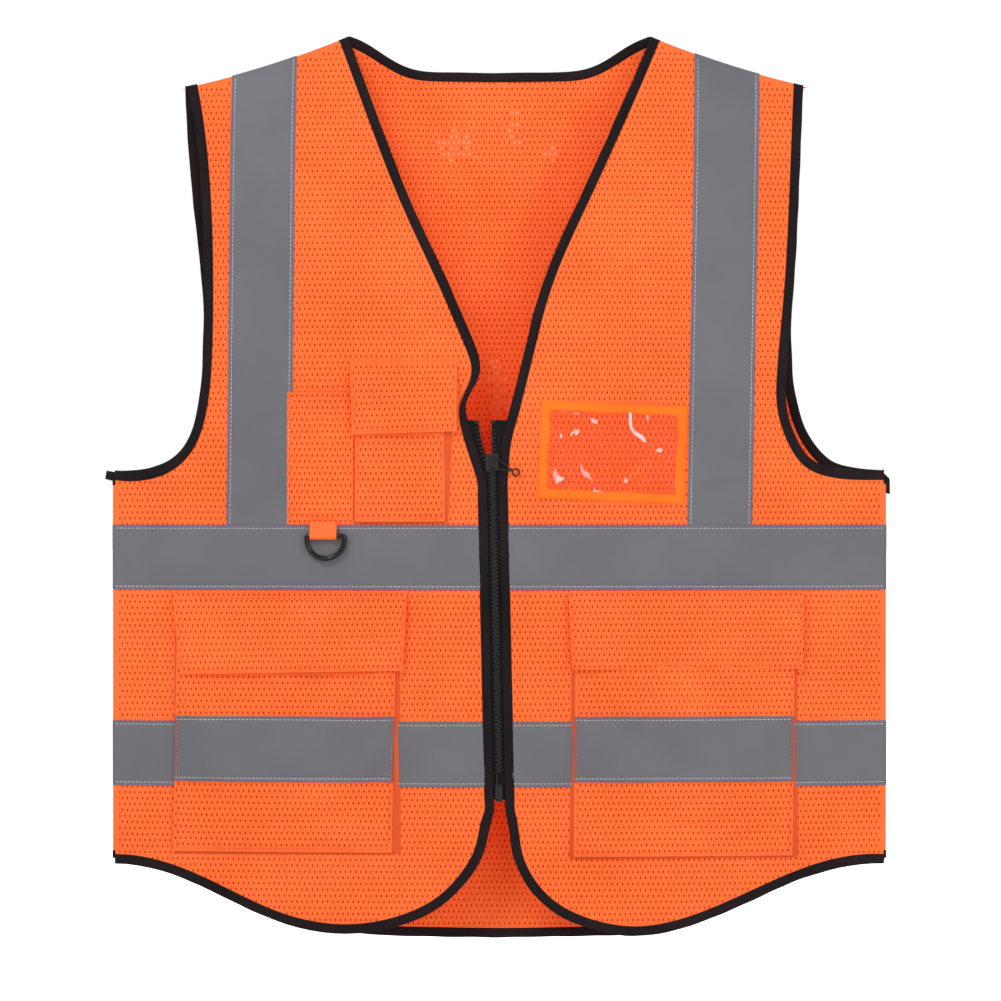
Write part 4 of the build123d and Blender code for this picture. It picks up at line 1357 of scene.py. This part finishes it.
# ------------------------------------------------------------------- ring and loop
def make_ring():
    """The D-ring, its bar along the slope of the cloth, and the fabric loop folded round the bar."""
    low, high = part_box("d_ring")
    cx, cy = (low.x + high.x) / 2, (low.y + high.y) / 2
    half = (high.x - low.x) / 2 - RING_WIRE
    bar_z = high.z - RING_WIRE
    arc_z = low.z + RING_WIRE + half
    shoulder = (arc_z + bar_z) / 2
    arc = [(cx + half * math.cos(t), cy, arc_z - half * math.sin(t)) for t in np.linspace(0, math.pi, 40)]
    bar = [(x, cy, bar_z) for x in np.linspace(cx - half + 1.6 * MM, cx + half - 1.6 * MM, 12)]
    left = [(cx - half, cy, shoulder), (cx - half + 0.5 * MM, cy, bar_z - 0.5 * MM)]
    right = [(cx + half - 0.5 * MM, cy, bar_z - 0.5 * MM), (cx + half, cy, shoulder)]
    path = np.array(arc + left + bar + right)
    places = np.array([v.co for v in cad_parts["d_ring"].data.vertices])
    slope = np.polyfit(places[:, 0], places[:, 1], 1)[0]
    path[:, 1] += slope * (path[:, 0] - cx)
    dress(tube("d_ring", path, RING_WIRE, "ring_plastic", True, 20), "ring_plastic", "d_ring", "d_ring")

    low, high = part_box("d_ring_loop")
    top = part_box("pen_pocket")[0].z + 2 * MM
    outer = RING_WIRE + 0.55 * MM
    back = [(cy + outer, z) for z in np.linspace(top, bar_z, 8)]
    under = [(cy + outer * math.cos(t), bar_z - outer * math.sin(t)) for t in np.linspace(0, math.pi, 16)]
    front = [(cy - outer + 0.9 * MM * s, bar_z + s * (top - bar_z)) for s in np.linspace(0.15, 1, 8)]
    path = np.array(back[:-1] + under + front)
    ahead = np.gradient(path, axis=0)
    ahead /= np.linalg.norm(ahead, axis=1)[:, None]
    normal = np.stack([ahead[:, 1], -ahead[:, 0]], 1)
    rails = []
    for side in (1, -1):
        for x in np.linspace(low.x, high.x, 12)[::side]:
            swell = 0.12 * MM * math.sin((x - low.x) / (high.x - low.x) * math.pi)
            y, z = (path + normal * (side * 0.3 * MM - swell)).T
            rails.append(np.stack([x + 0 * y, y + slope * (x - cx), z], 1))
    dress(skin("d_ring_loop", rails, MAT["mesh"]), "mesh", "right_front", "d_ring_loop")


# ---------------------------------------------------------------------------- zip
def slab(name, ring, y_front, y_back, slot):
    """A flat closed sheet of an (x, z) outline between two depths."""
    flat, tris = cdt_fill(corner_kept(ring, 3 * MM), 3 * MM)
    verts, faces, _ = thick_sheet(flat, tris, FRONT, 0.0, 0.0)
    verts[:len(flat), 1] = y_front
    verts[len(flat):, 1] = y_back
    return new_piece(name, verts, faces, MAT[slot])


def rounded(ring, top, radius):
    """An outline with the corners that touch its top edge rounded off."""
    points = []
    count = len(ring)
    for i, p in enumerate(ring):
        if abs(p[1] - top) > 0.5 * MM:
            points.append(p)
            continue
        before, after = ring[i - 1] - p, ring[(i + 1) % count] - p
        a = p + before / np.linalg.norm(before) * min(radius, np.linalg.norm(before) / 2)
        b = p + after / np.linalg.norm(after) * min(radius, np.linalg.norm(after) / 2)
        for t in np.linspace(0, 1, 7):
            points.append(a * (1 - t) ** 2 + p * 2 * t * (1 - t) + b * t * t)
    return np.array(points)


def reaching_in(ring, sign, reach):
    """An upright tape's outline, read at even heights, with its chain side moved in under the teeth."""
    inner = []
    outer = []
    for z in np.linspace(ring[:, 1].min(), ring[:, 1].max(), 60)[1:-1]:
        xs = []
        for (ax, az), (bx, bz) in zip(ring, np.roll(ring, -1, axis=0)):
            if (az > z) != (bz > z):
                xs.append(ax + (z - az) * (bx - ax) / (bz - az))
        xs.sort(key=lambda x: sign * x)
        inner.append((xs[0] - sign * reach, z))
        outer.append((xs[-1], z))
    return np.array(inner + outer[::-1])


def make_zip():
    for name, sign in SIDES.items():
        node = f"{name}_zip_tape"
        low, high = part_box(node)
        ring = reaching_in(loops_of(node, FRONT)[0], sign, 2.9 * MM)
        ring = rounded(ring, ring[:, 1].max(), 5.5 * MM)
        dress(slab(node, ring, low.y, high.y, "zip_tape"), "zip_tape", f"{name}_front", node)
        finish_cad(f"{name}_zip_teeth", "zip_plastic", 0.15 * MM)
        finish_cad(f"{name}_zip_top_stop", "zip_plastic", 0.15 * MM)
    finish_cad("zip_insertion_pin", "zip_plastic", 0.15 * MM)
    finish_cad("zip_retainer_box", "zip_plastic", 0.4 * MM)
    finish_cad("zip_slider", "zip_metal", 0.35 * MM)
    finish_cad("zip_puller", "zip_metal", 0.15 * MM)


def finish_cad(node, slot, edge):
    """A CAD node shown as it is, with its own material and softened edges."""
    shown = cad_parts[node]
    shown.data.materials.clear()
    shown.data.materials.append(MAT[slot])
    soften = shown.modifiers.new("edges", "BEVEL")
    soften.width = edge
    soften.segments = 2
    soften.limit_method = "ANGLE"
    soften.angle_limit = math.radians(40)


make_panels()
make_bindings()
make_tails()
make_tapes()
make_rolls()
make_pockets()
make_id_pocket()
make_ring()
make_zip()


# ------------------------------------------------------------- stage, light, camera
def camera_only(tree, seen, otherwise):
    """Mixes two shaders: what the camera sees directly, and what lights the object."""
    path = add(tree, "ShaderNodeLightPath")
    mix = add(tree, "ShaderNodeMixShader")
    tree.links.new(path.outputs["Is Camera Ray"], mix.inputs["Fac"])
    tree.links.new(otherwise, mix.inputs[1])
    tree.links.new(seen, mix.inputs[2])
    return mix.outputs["Shader"]


def make_stage():
    """A pale floor a little below the hem."""
    bpy.ops.mesh.primitive_plane_add(size=60, location=(0, 0, cad_box[0][2] - 0.05))
    floor = bpy.context.object
    floor.name = "studio_floor"
    material, tree, shader = node_material("pale_floor")
    shader.inputs["Base Color"].default_value = (0.9, 0.9, 0.9, 1)
    shader.inputs["Roughness"].default_value = 0.9
    pale = add(tree, "ShaderNodeEmission", Strength=1.0)
    pale.inputs["Color"].default_value = (1, 1, 1, 1)
    lit = add(tree, "ShaderNodeAddShader")
    tree.links.new(shader.outputs["BSDF"], lit.inputs[0])
    tree.links.new(pale.outputs["Emission"], lit.inputs[1])
    seen = camera_only(tree, lit.outputs["Shader"], shader.outputs["BSDF"])
    tree.links.new(seen, tree.nodes["Material Output"].inputs["Surface"])
    floor.data.materials.append(material)


def make_light(name, place_at, target, size, power):
    light = bpy.data.lights.new(name, "AREA")
    light.shape = "RECTANGLE"
    light.size, light.size_y = size
    light.energy = power
    lamp = bpy.data.objects.new(name, light)
    bpy.context.scene.collection.objects.link(lamp)
    lamp.location = place_at
    lamp.rotation_euler = (Vector(target) - Vector(place_at)).to_track_quat("-Z", "Y").to_euler()


def make_world():
    """A white studio: pure white to the camera, dimmer as a light so that folds keep their shade."""
    world = bpy.data.worlds.new("studio")
    bpy.context.scene.world = world
    world.use_nodes = True
    tree = world.node_tree
    dim = tree.nodes["Background"]
    dim.inputs["Color"].default_value = (1, 1, 1, 1)
    dim.inputs["Strength"].default_value = ROOM_LIGHT
    white = add(tree, "ShaderNodeBackground", Strength=1.0)
    white.inputs["Color"].default_value = (1, 1, 1, 1)
    seen = camera_only(tree, white.outputs["Background"], dim.outputs["Background"])
    tree.links.new(seen, tree.nodes["World Output"].inputs["Surface"])


def make_camera():
    """Square on to the front, far enough away that the view is nearly flat."""
    frame_width = 0.7584
    distance = 3.2
    lens = bpy.data.cameras.new("camera")
    lens.sensor_width = 36
    lens.lens = lens.sensor_width * (distance - 0.03) / frame_width
    camera = bpy.data.objects.new("camera", lens)
    bpy.context.scene.collection.objects.link(camera)
    camera.location = (0.0008, -distance, -0.355)
    camera.rotation_euler = (math.radians(90), 0, 0)
    bpy.context.scene.camera = camera


make_stage()
make_world()
make_light("key", (-1.3, -2.3, 1.7), (0, 0, -0.3), (1.1, 1.1), 34)
make_light("fill", (1.7, -2.3, 0.2), (0, 0, -0.35), (1.6, 1.6), 14)
make_light("glint", (0.55, -3.0, 0.25), (0.09, 0, -0.33), (0.22, 0.22), 5)
make_light("rear", (0.4, 2.6, 1.4), (0, 0, -0.3), (1.8, 1.8), 34)
make_camera()
bpy.context.scene.view_settings.view_transform = "Standard"
